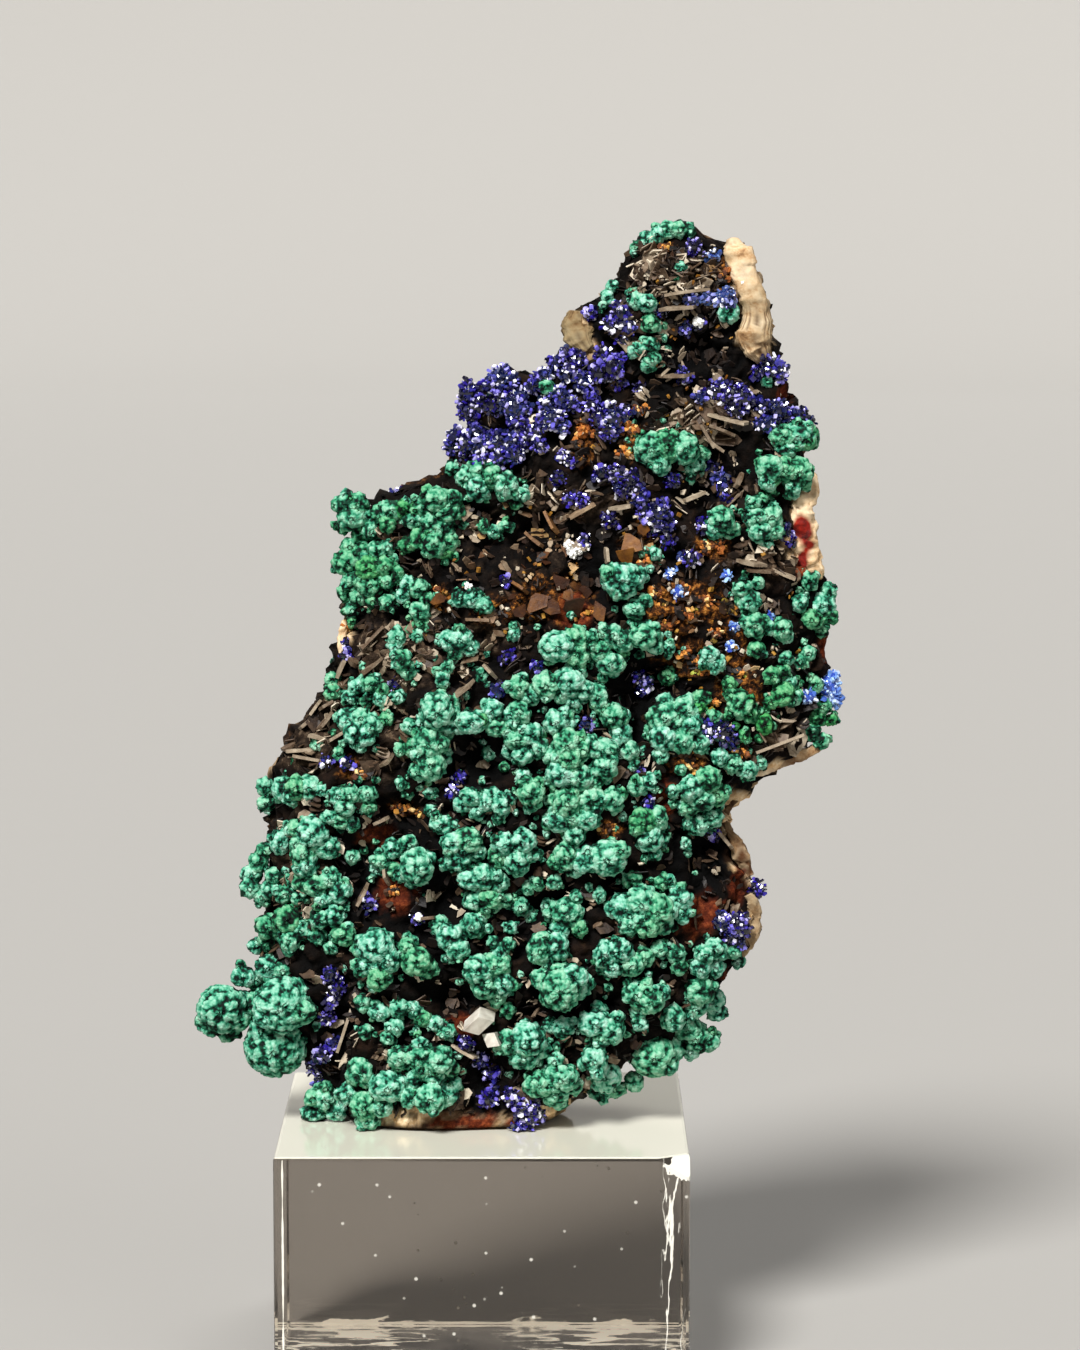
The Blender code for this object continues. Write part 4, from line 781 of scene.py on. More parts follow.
# botryoidal balls that have grown together: x, z and radius
malachiteGroups = {
    "crest": [
        (14.3, 104.4, 0.6), (15.2, 105.0, 0.7), (16.2, 105.5, 0.7), (17.2, 105.9, 0.7), (18.3, 106.0, 0.7),
        (19.2, 105.9, 0.6), (18.4, 102.5, 0.5),
    ],
    "upper_rib": [
        (12.2, 100.7, 0.6), (11.6, 99.7, 0.6), (11.2, 99.0, 0.4), (14.2, 99.5, 0.7), (15.2, 99.3, 0.8),
        (15.5, 97.4, 0.7), (16.1, 97.2, 0.5), (14.2, 95.0, 0.6), (15.5, 95.3, 0.7), (15.7, 94.1, 0.7),
        (15.3, 93.4, 0.5), (22.8, 98.4, 0.8), (26.4, 92.0, 0.5), (5.9, 91.6, 0.6),
    ],
    "upper_center": [
        (14.8, 85.4, 0.7), (15.6, 86.0, 1.2), (17.0, 86.3, 1.2), (18.7, 86.0, 1.2), (20.3, 85.4, 0.7),
        (19.4, 84.4, 0.9), (19.3, 83.4, 0.6), (16.4, 84.6, 0.9),
    ],
    "upper_right": [
        (27.8, 86.9, 1.0), (29.2, 86.9, 1.3), (30.3, 86.5, 0.8), (28.2, 85.8, 0.8), (28.8, 87.4, 0.8),
        (26.6, 84.1, 1.0), (26.4, 82.9, 0.8), (28.0, 83.9, 1.0), (29.3, 83.6, 1.1), (28.8, 82.4, 0.9),
        (29.8, 82.6, 0.7), (26.9, 81.8, 0.4),
    ],
    "right_buttons": [
        (25.1, 80.9, 0.7), (26.0, 81.2, 0.5), (25.4, 79.5, 0.9), (26.8, 79.6, 0.9), (25.7, 78.3, 0.9),
        (27.0, 78.2, 0.8), (26.3, 77.2, 0.6),
    ],
    "right_bead": [
        (22.1, 79.2, 1.1), (21.4, 78.5, 0.8), (22.9, 78.5, 0.8),
    ],
    "spur_foot": [
        (-2.8, 83.8, 0.7), (-1.5, 83.2, 0.8), (-0.2, 83.8, 0.9), (0.9, 83.3, 1.0), (-0.4, 82.2, 1.0),
        (2.2, 82.6, 1.0), (3.5, 81.7, 0.7), (3.0, 80.8, 0.5), (0.1, 78.7, 0.6), (1.0, 78.2, 0.6),
        (2.2, 78.7, 0.6),
    ],
    "left_shoulder": [
        (-12.7, 80.5, 1.0), (-11.6, 80.6, 0.9), (-12.2, 79.3, 1.1), (-13.0, 78.5, 0.7), (-10.9, 79.4, 0.7),
        (-9.7, 79.6, 0.7), (-8.5, 80.1, 0.9), (-7.3, 80.3, 0.9), (-8.8, 78.9, 0.8), (-10.3, 78.1, 0.7),
        (-11.4, 77.8, 0.7), (-6.5, 79.3, 0.8), (-5.4, 80.5, 0.8), (-4.3, 81.3, 1.1), (-2.8, 81.3, 0.8),
        (-3.4, 80.0, 1.0), (-2.2, 80.1, 0.6), (-4.8, 79.1, 0.9), (-3.7, 78.6, 1.0), (-5.8, 77.5, 0.9),
        (-4.5, 77.1, 1.0), (-3.2, 77.2, 0.8), (-6.9, 77.0, 0.7), (-3.5, 76.3, 0.6), (-12.4, 76.6, 0.7),
        (-12.6, 75.1, 1.1), (-11.3, 76.0, 0.9), (-9.7, 76.4, 0.9), (-8.8, 76.7, 0.6), (-10.5, 74.7, 1.1),
        (-9.0, 75.0, 0.9), (-11.9, 73.5, 1.0), (-10.4, 73.2, 1.0), (-8.8, 73.5, 0.7), (-7.9, 74.3, 0.6),
        (-6.9, 73.3, 0.7), (-12.9, 72.3, 0.7), (-11.6, 71.9, 0.8), (-12.2, 70.7, 0.7), (-10.2, 71.6, 0.6),
        (-8.8, 71.6, 0.7), (-7.4, 72.3, 0.6), (-5.9, 73.0, 0.8), (-5.2, 72.0, 0.6), (-5.8, 70.9, 0.8),
        (-5.6, 69.8, 0.6), (-12.2, 69.5, 0.6),
    ],
    "left_beads": [
        (-7.9, 68.5, 0.8), (-8.1, 67.5, 0.6), (-6.0, 68.7, 0.6), (-7.4, 66.3, 0.9), (-6.9, 65.4, 0.7),
    ],
    "center_bead": [
        (-2.1, 72.2, 0.7), (-0.9, 72.1, 0.8), (0.2, 71.5, 0.7),
    ],
    "center_pair": [
        (-3.2, 68.3, 0.8), (-2.1, 68.4, 1.0), (-1.1, 67.7, 0.7), (-2.5, 67.1, 0.6), (-3.2, 65.9, 0.6),
        (-3.7, 64.7, 0.7), (-4.2, 65.4, 0.5), (-0.1, 65.1, 0.6), (3.0, 68.9, 0.6),
    ],
    "mid_upper": [
        (12.9, 74.0, 1.5), (14.4, 74.3, 0.8), (12.0, 74.4, 0.7), (14.0, 71.3, 0.8), (15.0, 72.0, 0.6),
        (14.2, 69.9, 0.6), (15.9, 76.3, 0.6), (15.0, 68.7, 1.1), (15.9, 68.0, 0.8), (17.2, 67.6, 0.6),
        (14.6, 69.4, 0.6),
    ],
    "middle": [
        (7.0, 67.9, 1.3), (6.3, 66.9, 0.7), (8.6, 68.5, 1.0), (8.8, 67.2, 1.1), (9.9, 68.5, 0.8),
        (10.9, 67.4, 1.0), (11.8, 66.2, 1.0), (11.1, 65.0, 0.6), (12.0, 68.9, 0.8), (12.9, 68.3, 0.9),
        (13.1, 67.3, 0.6), (11.3, 69.4, 0.6), (3.4, 64.1, 1.0), (4.4, 63.3, 0.8), (5.9, 64.3, 1.1),
        (8.0, 64.6, 1.2), (9.2, 63.8, 0.9), (8.3, 62.8, 0.8), (7.2, 63.4, 0.7), (10.7, 63.1, 0.9),
        (11.2, 62.0, 0.7), (12.2, 61.2, 1.0), (12.8, 59.6, 1.0), (13.6, 58.0, 0.9), (14.0, 56.8, 0.6),
    ],
    "center_left": [
        (-4.2, 61.8, 1.6), (-5.6, 60.6, 0.8), (-6.7, 60.3, 0.7), (-3.2, 60.5, 0.7), (-5.0, 58.8, 1.4),
        (-6.4, 58.4, 0.8), (-7.6, 58.1, 0.6), (-4.8, 56.9, 1.3), (-6.0, 56.2, 0.7), (-3.6, 57.5, 0.7),
        (-1.0, 60.9, 1.1), (-2.1, 60.3, 0.6), (0.9, 61.8, 0.9), (1.4, 60.4, 0.9), (3.4, 61.7, 1.1),
        (6.9, 60.9, 1.1), (7.8, 60.5, 0.7), (3.2, 59.2, 1.0), (4.6, 59.7, 1.1), (5.3, 58.4, 0.8),
        (3.7, 57.9, 0.9), (2.6, 58.1, 0.6),
    ],
    "column": [
        (7.8, 58.8, 1.3), (6.5, 57.7, 0.9), (8.1, 57.5, 1.3), (9.9, 58.6, 1.1), (11.1, 58.2, 1.1),
        (11.2, 56.7, 1.0), (7.4, 56.2, 1.2), (8.9, 55.8, 1.2), (10.1, 55.1, 0.8), (6.5, 55.3, 0.7),
        (7.8, 53.5, 1.2), (10.0, 53.6, 1.1), (9.0, 54.2, 0.8), (12.1, 53.6, 1.0), (7.0, 51.7, 1.0),
        (8.3, 52.0, 0.9), (9.7, 51.9, 1.0), (6.1, 51.5, 0.6), (8.5, 50.4, 1.0), (7.7, 48.4, 1.1),
        (6.8, 47.8, 0.7), (9.4, 47.9, 1.1), (8.6, 47.2, 0.7), (11.5, 48.2, 1.4), (4.5, 54.4, 1.2),
        (3.8, 55.7, 0.7), (4.4, 53.2, 0.7),
    ],
    "ring": [
        (-1.8, 53.2, 0.7), (-0.9, 53.9, 0.9), (0.2, 53.4, 0.8), (0.8, 54.1, 0.7), (1.6, 53.2, 0.9),
        (2.4, 53.7, 0.6), (1.4, 52.0, 0.6), (-0.4, 52.6, 0.7), (0.6, 57.7, 0.6), (2.0, 56.4, 0.5),
    ],
    "center_low": [
        (-4.9, 52.4, 0.6), (-3.8, 51.2, 0.9), (-2.8, 51.1, 0.6), (-2.8, 49.7, 1.0), (-1.3, 49.9, 1.1),
        (-0.5, 48.8, 0.8), (-2.2, 48.1, 0.9), (-3.3, 47.6, 0.7), (2.1, 49.6, 1.1), (3.7, 49.8, 1.1),
        (1.6, 48.3, 0.9), (3.2, 47.9, 1.1), (4.4, 48.5, 0.8), (-1.2, 46.2, 0.9), (0.2, 46.5, 1.1),
        (1.5, 45.9, 0.8), (-0.7, 44.0, 0.9), (0.7, 44.4, 1.0), (2.1, 44.2, 0.7), (-1.0, 41.9, 1.0),
        (-0.0, 42.7, 0.6), (-4.0, 41.6, 0.8), (-3.0, 40.7, 1.1), (-2.3, 39.6, 0.9),
    ],
    "low_left_center": [
        (-7.6, 54.9, 0.5), (-7.0, 53.9, 0.5), (-5.0, 54.0, 0.5), (-8.4, 48.7, 0.8), (-6.9, 49.2, 0.7),
        (-9.3, 47.5, 0.8), (-10.0, 46.5, 0.6), (-6.1, 47.3, 1.4), (-7.4, 46.5, 0.7), (-8.2, 46.7, 0.7),
    ],
    "lower_left_center": [
        (-10.0, 39.8, 1.4), (-8.8, 38.7, 1.2), (-10.6, 38.1, 1.1), (-9.7, 37.0, 1.0), (-11.4, 39.5, 0.7),
        (-6.9, 39.8, 0.9), (-6.1, 38.6, 1.2), (-5.0, 37.8, 0.8),
    ],
    "lower_center": [
        (-0.4, 37.8, 1.2), (1.2, 38.2, 1.2), (0.2, 36.2, 1.1), (1.9, 36.5, 1.0), (1.3, 34.9, 0.7),
        (2.3, 33.7, 0.6), (1.0, 40.2, 0.6), (2.5, 41.6, 0.5), (2.3, 40.0, 0.6),
    ],
    "lower_knobs": [
        (3.5, 43.5, 0.7), (4.4, 42.3, 0.5), (4.1, 45.2, 0.6), (5.1, 45.7, 0.6), (6.6, 45.9, 0.6),
        (8.7, 44.4, 0.6), (10.8, 44.6, 0.6), (6.5, 42.9, 0.9), (7.9, 42.8, 1.2), (9.0, 41.5, 0.8),
        (7.2, 41.4, 0.9), (5.3, 39.7, 1.1), (6.9, 39.9, 1.1), (6.1, 38.6, 0.7), (7.2, 36.2, 1.9),
        (8.9, 36.4, 1.1),
    ],
    "lower_right": [
        (11.4, 39.2, 1.0), (12.8, 39.5, 1.1), (12.1, 37.9, 0.9), (13.9, 38.1, 0.9), (15.0, 38.7, 0.9),
        (16.5, 39.5, 0.8), (18.0, 39.0, 0.8), (18.3, 37.8, 0.7), (13.2, 43.3, 1.3), (14.7, 43.9, 1.3),
        (16.2, 43.2, 1.3), (13.6, 41.9, 1.0), (15.3, 41.8, 1.1), (16.8, 41.9, 0.8), (16.7, 45.6, 0.8),
        (18.2, 44.2, 1.1), (18.6, 42.8, 0.8), (13.9, 45.9, 0.7),
    ],
    "right_center": [
        (14.8, 51.5, 1.0), (16.2, 51.7, 0.9), (15.5, 50.0, 1.1), (16.6, 49.7, 0.7), (16.0, 48.4, 0.6),
        (14.3, 54.8, 0.8), (15.5, 55.2, 0.7), (17.6, 54.3, 0.6), (18.4, 56.3, 0.5), (18.9, 49.1, 0.5),
    ],
    "right_block": [
        (16.9, 61.1, 1.3), (18.8, 61.7, 1.1), (19.4, 60.4, 1.0), (16.8, 59.4, 1.2), (18.6, 59.0, 1.1),
        (16.5, 57.6, 0.7), (20.2, 58.7, 0.7), (15.7, 59.9, 0.6), (17.9, 60.4, 1.0),
    ],
    "right_low": [
        (20.9, 55.4, 1.0), (19.4, 54.6, 1.1), (21.8, 53.9, 0.9), (20.3, 53.4, 1.1), (19.2, 52.6, 0.8),
        (21.3, 51.7, 1.1), (20.0, 50.9, 0.9), (19.1, 51.1, 0.7), (22.0, 57.4, 0.7), (23.2, 56.7, 0.8),
        (24.6, 56.1, 0.8), (25.8, 56.6, 0.6),
    ],
    "field_upper": [
        (24.0, 73.2, 0.8), (25.5, 73.6, 0.6), (24.7, 71.8, 0.9), (24.0, 72.1, 0.6), (25.2, 69.7, 1.0),
        (26.4, 69.4, 0.7), (27.8, 69.2, 0.9), (25.4, 67.4, 0.7), (28.2, 66.4, 0.6), (21.0, 67.0, 0.8),
        (21.6, 66.2, 0.7), (17.2, 64.7, 0.7),
    ],
    "field_edge": [
        (30.4, 73.5, 0.8), (32.3, 72.4, 0.7), (29.5, 71.5, 0.7), (31.6, 71.1, 1.0), (32.2, 70.0, 0.8),
        (30.6, 69.9, 0.8), (31.5, 68.8, 0.7), (30.3, 66.8, 0.7), (29.5, 66.1, 0.6),
    ],
    "field_lower": [
        (20.3, 62.9, 0.7), (20.1, 62.0, 0.6), (21.5, 61.2, 0.6), (22.9, 64.2, 0.6), (23.0, 63.3, 0.6),
        (23.9, 62.3, 1.1), (24.8, 61.5, 0.8), (26.2, 60.4, 0.8), (24.3, 59.4, 0.6),
    ],
    "field_right": [
        (26.8, 64.9, 0.8), (27.9, 65.3, 0.6), (27.9, 63.1, 0.9), (29.0, 62.7, 0.7), (28.5, 64.2, 0.6),
        (26.7, 62.4, 0.6),
    ],
    "edge_low": [
        (31.0, 63.8, 0.7), (31.7, 61.7, 0.7), (32.6, 60.3, 0.6), (31.6, 58.3, 0.7), (31.3, 60.5, 0.8),
        (30.8, 59.2, 0.7),
    ],
    "left_middle": [
        (-14.0, 64.1, 0.7), (-14.0, 63.0, 0.7), (-12.3, 62.8, 0.7), (-11.6, 63.8, 0.8), (-10.3, 64.2, 0.8),
        (-9.4, 63.6, 0.7), (-9.5, 62.7, 0.6), (-10.8, 62.5, 0.6), (-7.8, 63.0, 0.6), (-12.5, 60.8, 0.9),
        (-11.3, 61.0, 0.8), (-10.2, 60.3, 0.9), (-12.0, 59.5, 0.9), (-10.8, 59.4, 0.8), (-11.3, 58.5, 0.6),
        (-8.9, 60.9, 0.6), (-15.3, 58.3, 0.6), (-13.4, 57.6, 0.5),
    ],
    "left_edge": [
        (-18.3, 55.5, 0.4), (-20.4, 54.0, 0.7), (-18.7, 54.1, 0.9), (-17.4, 54.4, 1.0), (-16.1, 54.4, 0.9),
        (-15.0, 54.2, 0.6), (-20.3, 52.5, 0.7), (-17.9, 53.3, 0.7),
    ],
    "left_low": [
        (-13.4, 53.8, 0.8), (-12.3, 54.0, 0.9), (-12.7, 52.8, 0.8), (-10.6, 54.0, 0.7), (-10.5, 52.7, 0.6),
        (-14.3, 51.8, 0.7), (-13.2, 51.4, 0.7), (-12.1, 51.2, 0.6), (-12.2, 47.9, 0.6), (-18.9, 49.1, 1.0),
        (-17.3, 50.6, 0.8), (-15.8, 50.3, 1.2), (-14.5, 48.9, 1.0), (-16.7, 48.3, 1.2), (-16.3, 47.3, 1.0),
        (-20.5, 48.0, 0.7), (-21.1, 46.9, 0.8), (-21.7, 45.7, 0.8), (-21.9, 44.5, 0.8), (-20.8, 43.7, 0.8),
        (-19.6, 45.6, 0.8), (-19.8, 44.4, 0.9), (-18.5, 44.2, 0.8), (-16.8, 45.7, 0.9), (-15.6, 45.4, 1.0),
        (-17.2, 44.1, 0.7), (-14.2, 45.9, 0.9), (-13.3, 44.8, 0.9), (-14.9, 44.0, 0.7),
    ],
    "left_lower": [
        (-20.0, 41.0, 1.2), (-18.3, 41.9, 1.2), (-18.1, 40.0, 1.0), (-20.2, 39.5, 0.9), (-17.0, 40.9, 0.8),
        (-21.3, 38.9, 0.7), (-15.1, 42.1, 0.8), (-13.8, 42.5, 0.8), (-13.0, 40.8, 1.0), (-15.3, 40.4, 0.7),
        (-14.2, 39.5, 0.6), (-22.6, 36.0, 1.0), (-21.4, 35.6, 0.7), (-20.2, 37.0, 1.1), (-18.8, 37.0, 0.7),
        (-24.5, 33.1, 1.85), (-25.4, 31.4, 1.0), (-24.0, 30.9, 0.9), (-22.9, 33.6, 0.9), (-21.5, 33.4, 1.0),
        (-18.8, 33.9, 2.0), (-17.0, 33.2, 0.9), (-17.9, 35.6, 0.8), (-20.8, 32.1, 1.1), (-19.6, 29.4, 2.2),
        (-18.0, 30.6, 1.1), (-20.9, 30.3, 1.0),
    ],
    "recess": [
        (-11.2, 34.4, 0.7), (-9.6, 33.6, 0.8), (-7.8, 34.0, 0.9), (-11.0, 31.7, 0.7), (-8.8, 31.2, 0.6),
        (-8.0, 32.3, 0.7), (-6.5, 33.8, 0.7), (-5.6, 33.0, 0.7), (-4.4, 32.5, 0.7), (-3.3, 31.8, 0.7),
    ],
    "foot": [
        (-15.0, 24.4, 1.2), (-16.1, 22.9, 0.9), (-15.7, 21.5, 0.8), (-13.9, 23.2, 0.9), (-11.4, 27.8, 1.2),
        (-12.6, 25.6, 0.9), (-11.1, 24.6, 1.1), (-10.8, 23.1, 0.9), (-8.9, 26.7, 1.3), (-9.4, 24.7, 1.0),
        (-7.7, 29.5, 1.0), (-5.8, 29.7, 1.3), (-4.0, 29.4, 1.2), (-4.8, 28.0, 1.0), (-2.9, 28.3, 0.7),
        (-6.9, 25.7, 1.0), (-4.9, 25.8, 1.2), (-3.4, 25.9, 1.0), (-2.9, 26.8, 0.7), (-6.3, 27.5, 0.8),
    ],
    "foot_right": [
        (2.5, 30.8, 1.2), (4.2, 31.3, 1.3), (3.8, 29.6, 1.2), (5.4, 30.2, 0.8), (6.3, 32.3, 0.7),
        (7.5, 32.1, 0.8), (8.3, 32.6, 0.6), (5.3, 26.9, 1.2), (7.2, 27.5, 1.3), (6.7, 25.8, 1.1),
        (8.4, 26.5, 0.8), (6.7, 29.1, 0.7),
    ],
    "right_foot": [
        (10.4, 32.6, 1.2), (12.0, 32.0, 1.2), (10.9, 30.9, 0.8), (10.7, 33.6, 0.7), (10.4, 29.2, 1.1),
        (11.4, 27.0, 1.2), (11.0, 25.3, 1.0), (12.4, 25.3, 0.8), (14.2, 26.0, 0.8),
    ],
    "right_corner": [
        (16.0, 28.8, 1.8), (14.2, 35.3, 1.0), (15.6, 34.7, 1.1), (15.1, 36.2, 0.8), (16.8, 35.3, 0.7),
        (14.6, 33.5, 0.7), (14.7, 32.3, 0.7), (17.7, 32.7, 1.0), (19.2, 31.1, 1.1), (19.9, 30.2, 1.1),
        (21.2, 29.9, 0.9), (19.5, 29.0, 0.8), (18.1, 29.9, 0.8), (20.7, 38.8, 0.8), (21.7, 39.3, 0.9),
        (23.4, 38.7, 0.7), (24.0, 37.5, 0.6), (20.3, 37.5, 0.8), (21.7, 37.3, 0.8), (20.3, 35.3, 1.2),
        (21.5, 33.8, 1.0), (19.8, 33.4, 0.8), (22.0, 32.6, 0.8),
    ],
}

malachiteLook = {
    # between mesh points: on a ball, on its satellites and crumbs, and at the rear
    "spacing": 0.215, "coarse": 0.28, "rear": 0.39,
    "rise": 0.75,  # share of its radius by which a ball's middle stands in front of the rock
    "swell": 1.2, "uneven": 0.14,
    "satellites": 2.4, "satelliteSize": (0.36, 0.56), "satelliteReach": (0.6, 0.92),
    "crumbs": 1.6, "crumbSize": (0.2, 0.48), "crumbReach": (1.1, 2.4),
    "crumbEdge": 1.3, "crumbHeights": (23, 104), "notchGap": 3,  # where the rock still carries crumbs
    "nodule": 0.9, "noduleHeight": 0.17, "noduleTone": 0.58,  # lesser balls on each ball
    "granule": 0.45, "granuleHeight": 0.1, "granuleTone": 0.36,  # crystal tufts on those
    "fray": 0.06, "tone": -0.03,
    "rockSideShade": 0.8,  # painted shade: how much darker the side towards the rock is
    "green": 0.2,
}

# share of the deeper, yellower green in a group, where it isn't the usual one
greenGroups = {
    "left_shoulder": 0.4, "upper_right": 0.4, "field_right": 0.5, "field_lower": 0.7, "edge_low": 0.5,
}

# painted light and shade of a group: paler where the key light falls on a bulge, darker where a group lies
# in shade
groupLightAndShade = {"column": 0.06, "middle": 0.05, "center_left": 0.04, "left_shoulder": -0.05, "left_lower": -0.04}


def malachiteMaterial():
    # fibrous malachite grown as velvety balls: pale tuft ends, deep green to near black in painted shade
    # between them, no shine
    material, tree = newMaterial("malachiteVelvet")
    place = objectPlace(tree)
    tufts = scattered(tree, place, 2900.0)
    # darker between the tufts: painted shade in the small crevices
    tipLightAndShade = mottled(tree, meshValue(tree, "tipLightAndShade"), tufts, -0.4, 0.35)
    colour = ramp(tree, tipLightAndShade, [
        (0.15, "#010B08"), (0.35, "#0A4431"), (0.51, "#368D6F"), (0.72, "#79B99F"), (1.0, "#A6CEBB")])
    colour = tinted(tree, meshValue(tree, "tone"), colour, "#8CCB84")
    return finishMaterial(material, {"Base Color": colour, "Normal": bumps(tree, tufts, 0.16, 0.75, True),
                                     "Roughness": 0.8, "Specular IOR Level": 0.2})


# mesh points on a ball of radius 1 at a spacing of 1, and the fewest on a small ball
ballLook = {
    "close": 1.92,  # angle from the front pole, 110 degrees, over which rows are close together
    "fewestRows": 4, "rearRows": 0.5, "fewestRearRows": 3, "columns": 5.3, "fewestColumns": 10,
}


def ballGrid(radius, spacing):
    # unit directions: polar angle from -Y by angle about Y, with one point at each pole. The side
    # towards the rock has wide rows
    look, close = ballLook, ballLook["close"]
    rows = max(look["fewestRows"], round(close * radius / spacing))
    rearRows = max(look["fewestRearRows"], round(look["rearRows"] * radius / spacing))
    polar = np.concatenate([np.arange(1, rows) / rows * close, np.linspace(close, math.pi, rearRows)[:-1]])
    around = max(look["fewestColumns"], round(look["columns"] * radius / spacing))
    turn = math.tau * np.arange(around) / around
    polar, turn = np.meshgrid(polar, turn, indexing="ij")
    body = np.stack([np.sin(polar) * np.cos(turn), -np.cos(polar), np.sin(polar) * np.sin(turn)], axis=-1)
    directions = np.concatenate([body.reshape(-1, 3), [(0, -1, 0), (0, 1, 0)]])
    return directions, gridFaces(len(polar), around), endFans(len(polar), around)[:, [0, 2, 1]]


def onRock(places, rise, swell, rng, behind=False):
    # middle and radius of each ball, stood out from the show face or the rear by a share of its radius
    x, z, radius = np.array(places).T
    radius = radius * swell
    out = (rng.normal(0, 0.15, len(x)) - rise) * radius
    y = rockBack(x, z) - out if behind else rockFront(x, z) + out
    return np.stack([x, y, z, radius], axis=1)


def withSatellites(balls, look, rng):
    # lesser balls grown on the flanks of each ball, more of them on a larger one
    count = np.clip(np.round(look["satellites"] * balls[:, 3]), 0, 4).astype(int)
    parent = np.repeat(balls, count, axis=0)
    turn = rng.uniform(0, math.tau, len(parent))
    reach = rng.uniform(*look["satelliteReach"], len(parent))
    lift = rng.uniform(-0.4, 0.5, len(parent))
    offset = np.stack([reach * np.cos(turn), lift, reach * np.sin(turn)], axis=1) * parent[:, 3:]
    size = parent[:, 3] * rng.uniform(*look["satelliteSize"], len(parent))
    return np.concatenate([balls, np.column_stack([parent[:, :3] + offset, size])])


def crumbsAround(places, look, rng):
    # loose crumbs on the rock between the balls, where the rock still carries them
    places = np.array(places)
    parent = places[rng.integers(0, len(places), round(look["crumbs"] * len(places)))]
    turn = rng.uniform(0, math.tau, len(parent))
    reach = parent[:, 2] * rng.uniform(*look["crumbReach"], len(parent))
    x, z = parent[:, 0] + reach * np.cos(turn), parent[:, 1] + reach * np.sin(turn)
    left, right, _, _ = sectionAt(z)
    low, high = look["crumbHeights"]
    kept = (x > left + look["crumbEdge"]) & (x < right - look["crumbEdge"]) & (z > low) & (z < high)
    kept &= clearOfNotch(x, z, look["notchGap"])
    size = rng.uniform(*look["crumbSize"], len(parent))
    return onRock(np.stack([x, z, size], axis=1)[kept], look["rise"], 1.0, rng)


def ballMeshes(balls, spacings, uneven, rng, facing):
    # all balls of a group as one set of arrays: points, outward directions, ball number, faces
    points, outward, number, quads, caps, start = [], [], [], [], [], 0
    for k, (ball, spacing) in enumerate(zip(balls, spacings)):
        directions, four, three = ballGrid(ball[3], spacing)
        directions = directions * (facing, facing, 1)  # half a turn for those at the rear
        stretch = 1 + rng.uniform(-1, 1, 3) * uneven
        points.append(ball[:3] + directions * ball[3] * stretch)
        outward.append(directions)
        number.append(np.full(len(directions), k))
        quads.append(four + start)
        caps.append(three + start)
        start += len(directions)
    return [np.concatenate(part) for part in (points, outward, number, quads, caps)]


# loose clusters on the rear and the sides: how many, balls in each, their radii, random seed
rearGrowth = {"malachite": (30, (3, 7), (0.35, 0.95), 40), "azurite": (11, (2, 5), (0.35, 0.7), 41)}
rearLook = {"heights": (26, 100), "scatter": (0.9, 1.1), "edge": 0.7, "notchGap": 4.5}  # scatter in x and z


def rearPlaces(clusters, inCluster, sizes, seed):
    # x, z and radius of the balls in those clusters
    look, rng = rearLook, np.random.default_rng(seed)
    heights = rng.uniform(*look["heights"], clusters)
    count = rng.integers(*inCluster, clusters)
    z = np.repeat(heights, count) + rng.normal(0, look["scatter"][1], count.sum())
    left, right, _, _ = sectionAt(z)
    share = np.repeat(np.sin(rng.uniform(-1.5, 1.5, clusters)), count) * 0.97
    x = (left + right) / 2 + (right - left) / 2 * share + rng.normal(0, look["scatter"][0], count.sum())
    x = np.clip(x, left + look["edge"], right - look["edge"])
    kept = clearOfNotch(x, z, look["notchGap"])
    return np.stack([x, z, rng.uniform(*sizes, count.sum())], axis=1)[kept]


def makeMalachite():
    look, material, total = malachiteLook, malachiteMaterial(), 0
    groups = malachiteGroups | {"rear": rearPlaces(*rearGrowth["malachite"])}
    for seed, (name, places) in enumerate(groups.items()):
        rng, behind = np.random.default_rng(100 + seed), name == "rear"
        balls = withSatellites(onRock(places, look["rise"], look["swell"], rng, behind), look, rng)
        if not behind:
            balls = np.concatenate([balls, crumbsAround(places, look, rng)])
        spacings = [look["spacing"]] * len(places) + [look["coarse"]] * (len(balls) - len(places))
        if behind:
            spacings = [look["rear"]] * len(balls)
        facing = -1 if behind else 1
        points, outward, number, quads, caps = ballMeshes(balls, spacings, look["uneven"], rng, facing)
        radius = balls[number, 3]
        nodules = domes(points, look["nodule"], 200 + seed)
        granules = domes(points, look["granule"], 300 + seed)
        height = look["noduleHeight"] * (nodules - 0.6) * np.clip(radius / look["nodule"], 0.4, 1.4)
        height += look["granuleHeight"] * (granules - 0.6) * np.clip(radius / 0.5, 0.5, 1)
        height += look["fray"] * rng.normal(0, 1, len(points))
        points = points + outward * height[:, None]
        points[:, 2] = np.maximum(points[:, 2], lowest)
        # pale crests of nodules and granules, with painted shade in the dips between them
        tipLightAndShade = look["noduleTone"] * nodules + look["granuleTone"] * granules + look["tone"]
        # painted shade on the side of each ball that faces the rock
        rockSideShade = np.clip((facing * outward[:, 1] + 0.2) * 0.9, 0, 1)
        tipLightAndShade += groupLightAndShade.get(name, 0.0) - look["rockSideShade"] * rockSideShade
        tone = np.clip(rng.normal(greenGroups.get(name, look["green"]), 0.2, len(balls)), 0, 1)[number]
        total += len(quads) * 2 + len(caps)
        addPiece("malachite_" + name + "_balls", points, quads, caps, material,
                 "malachite_" + name, values={"tipLightAndShade": tipLightAndShade, "tone": tone})
    print("malachite done:", total, "triangles")


makeMalachite()


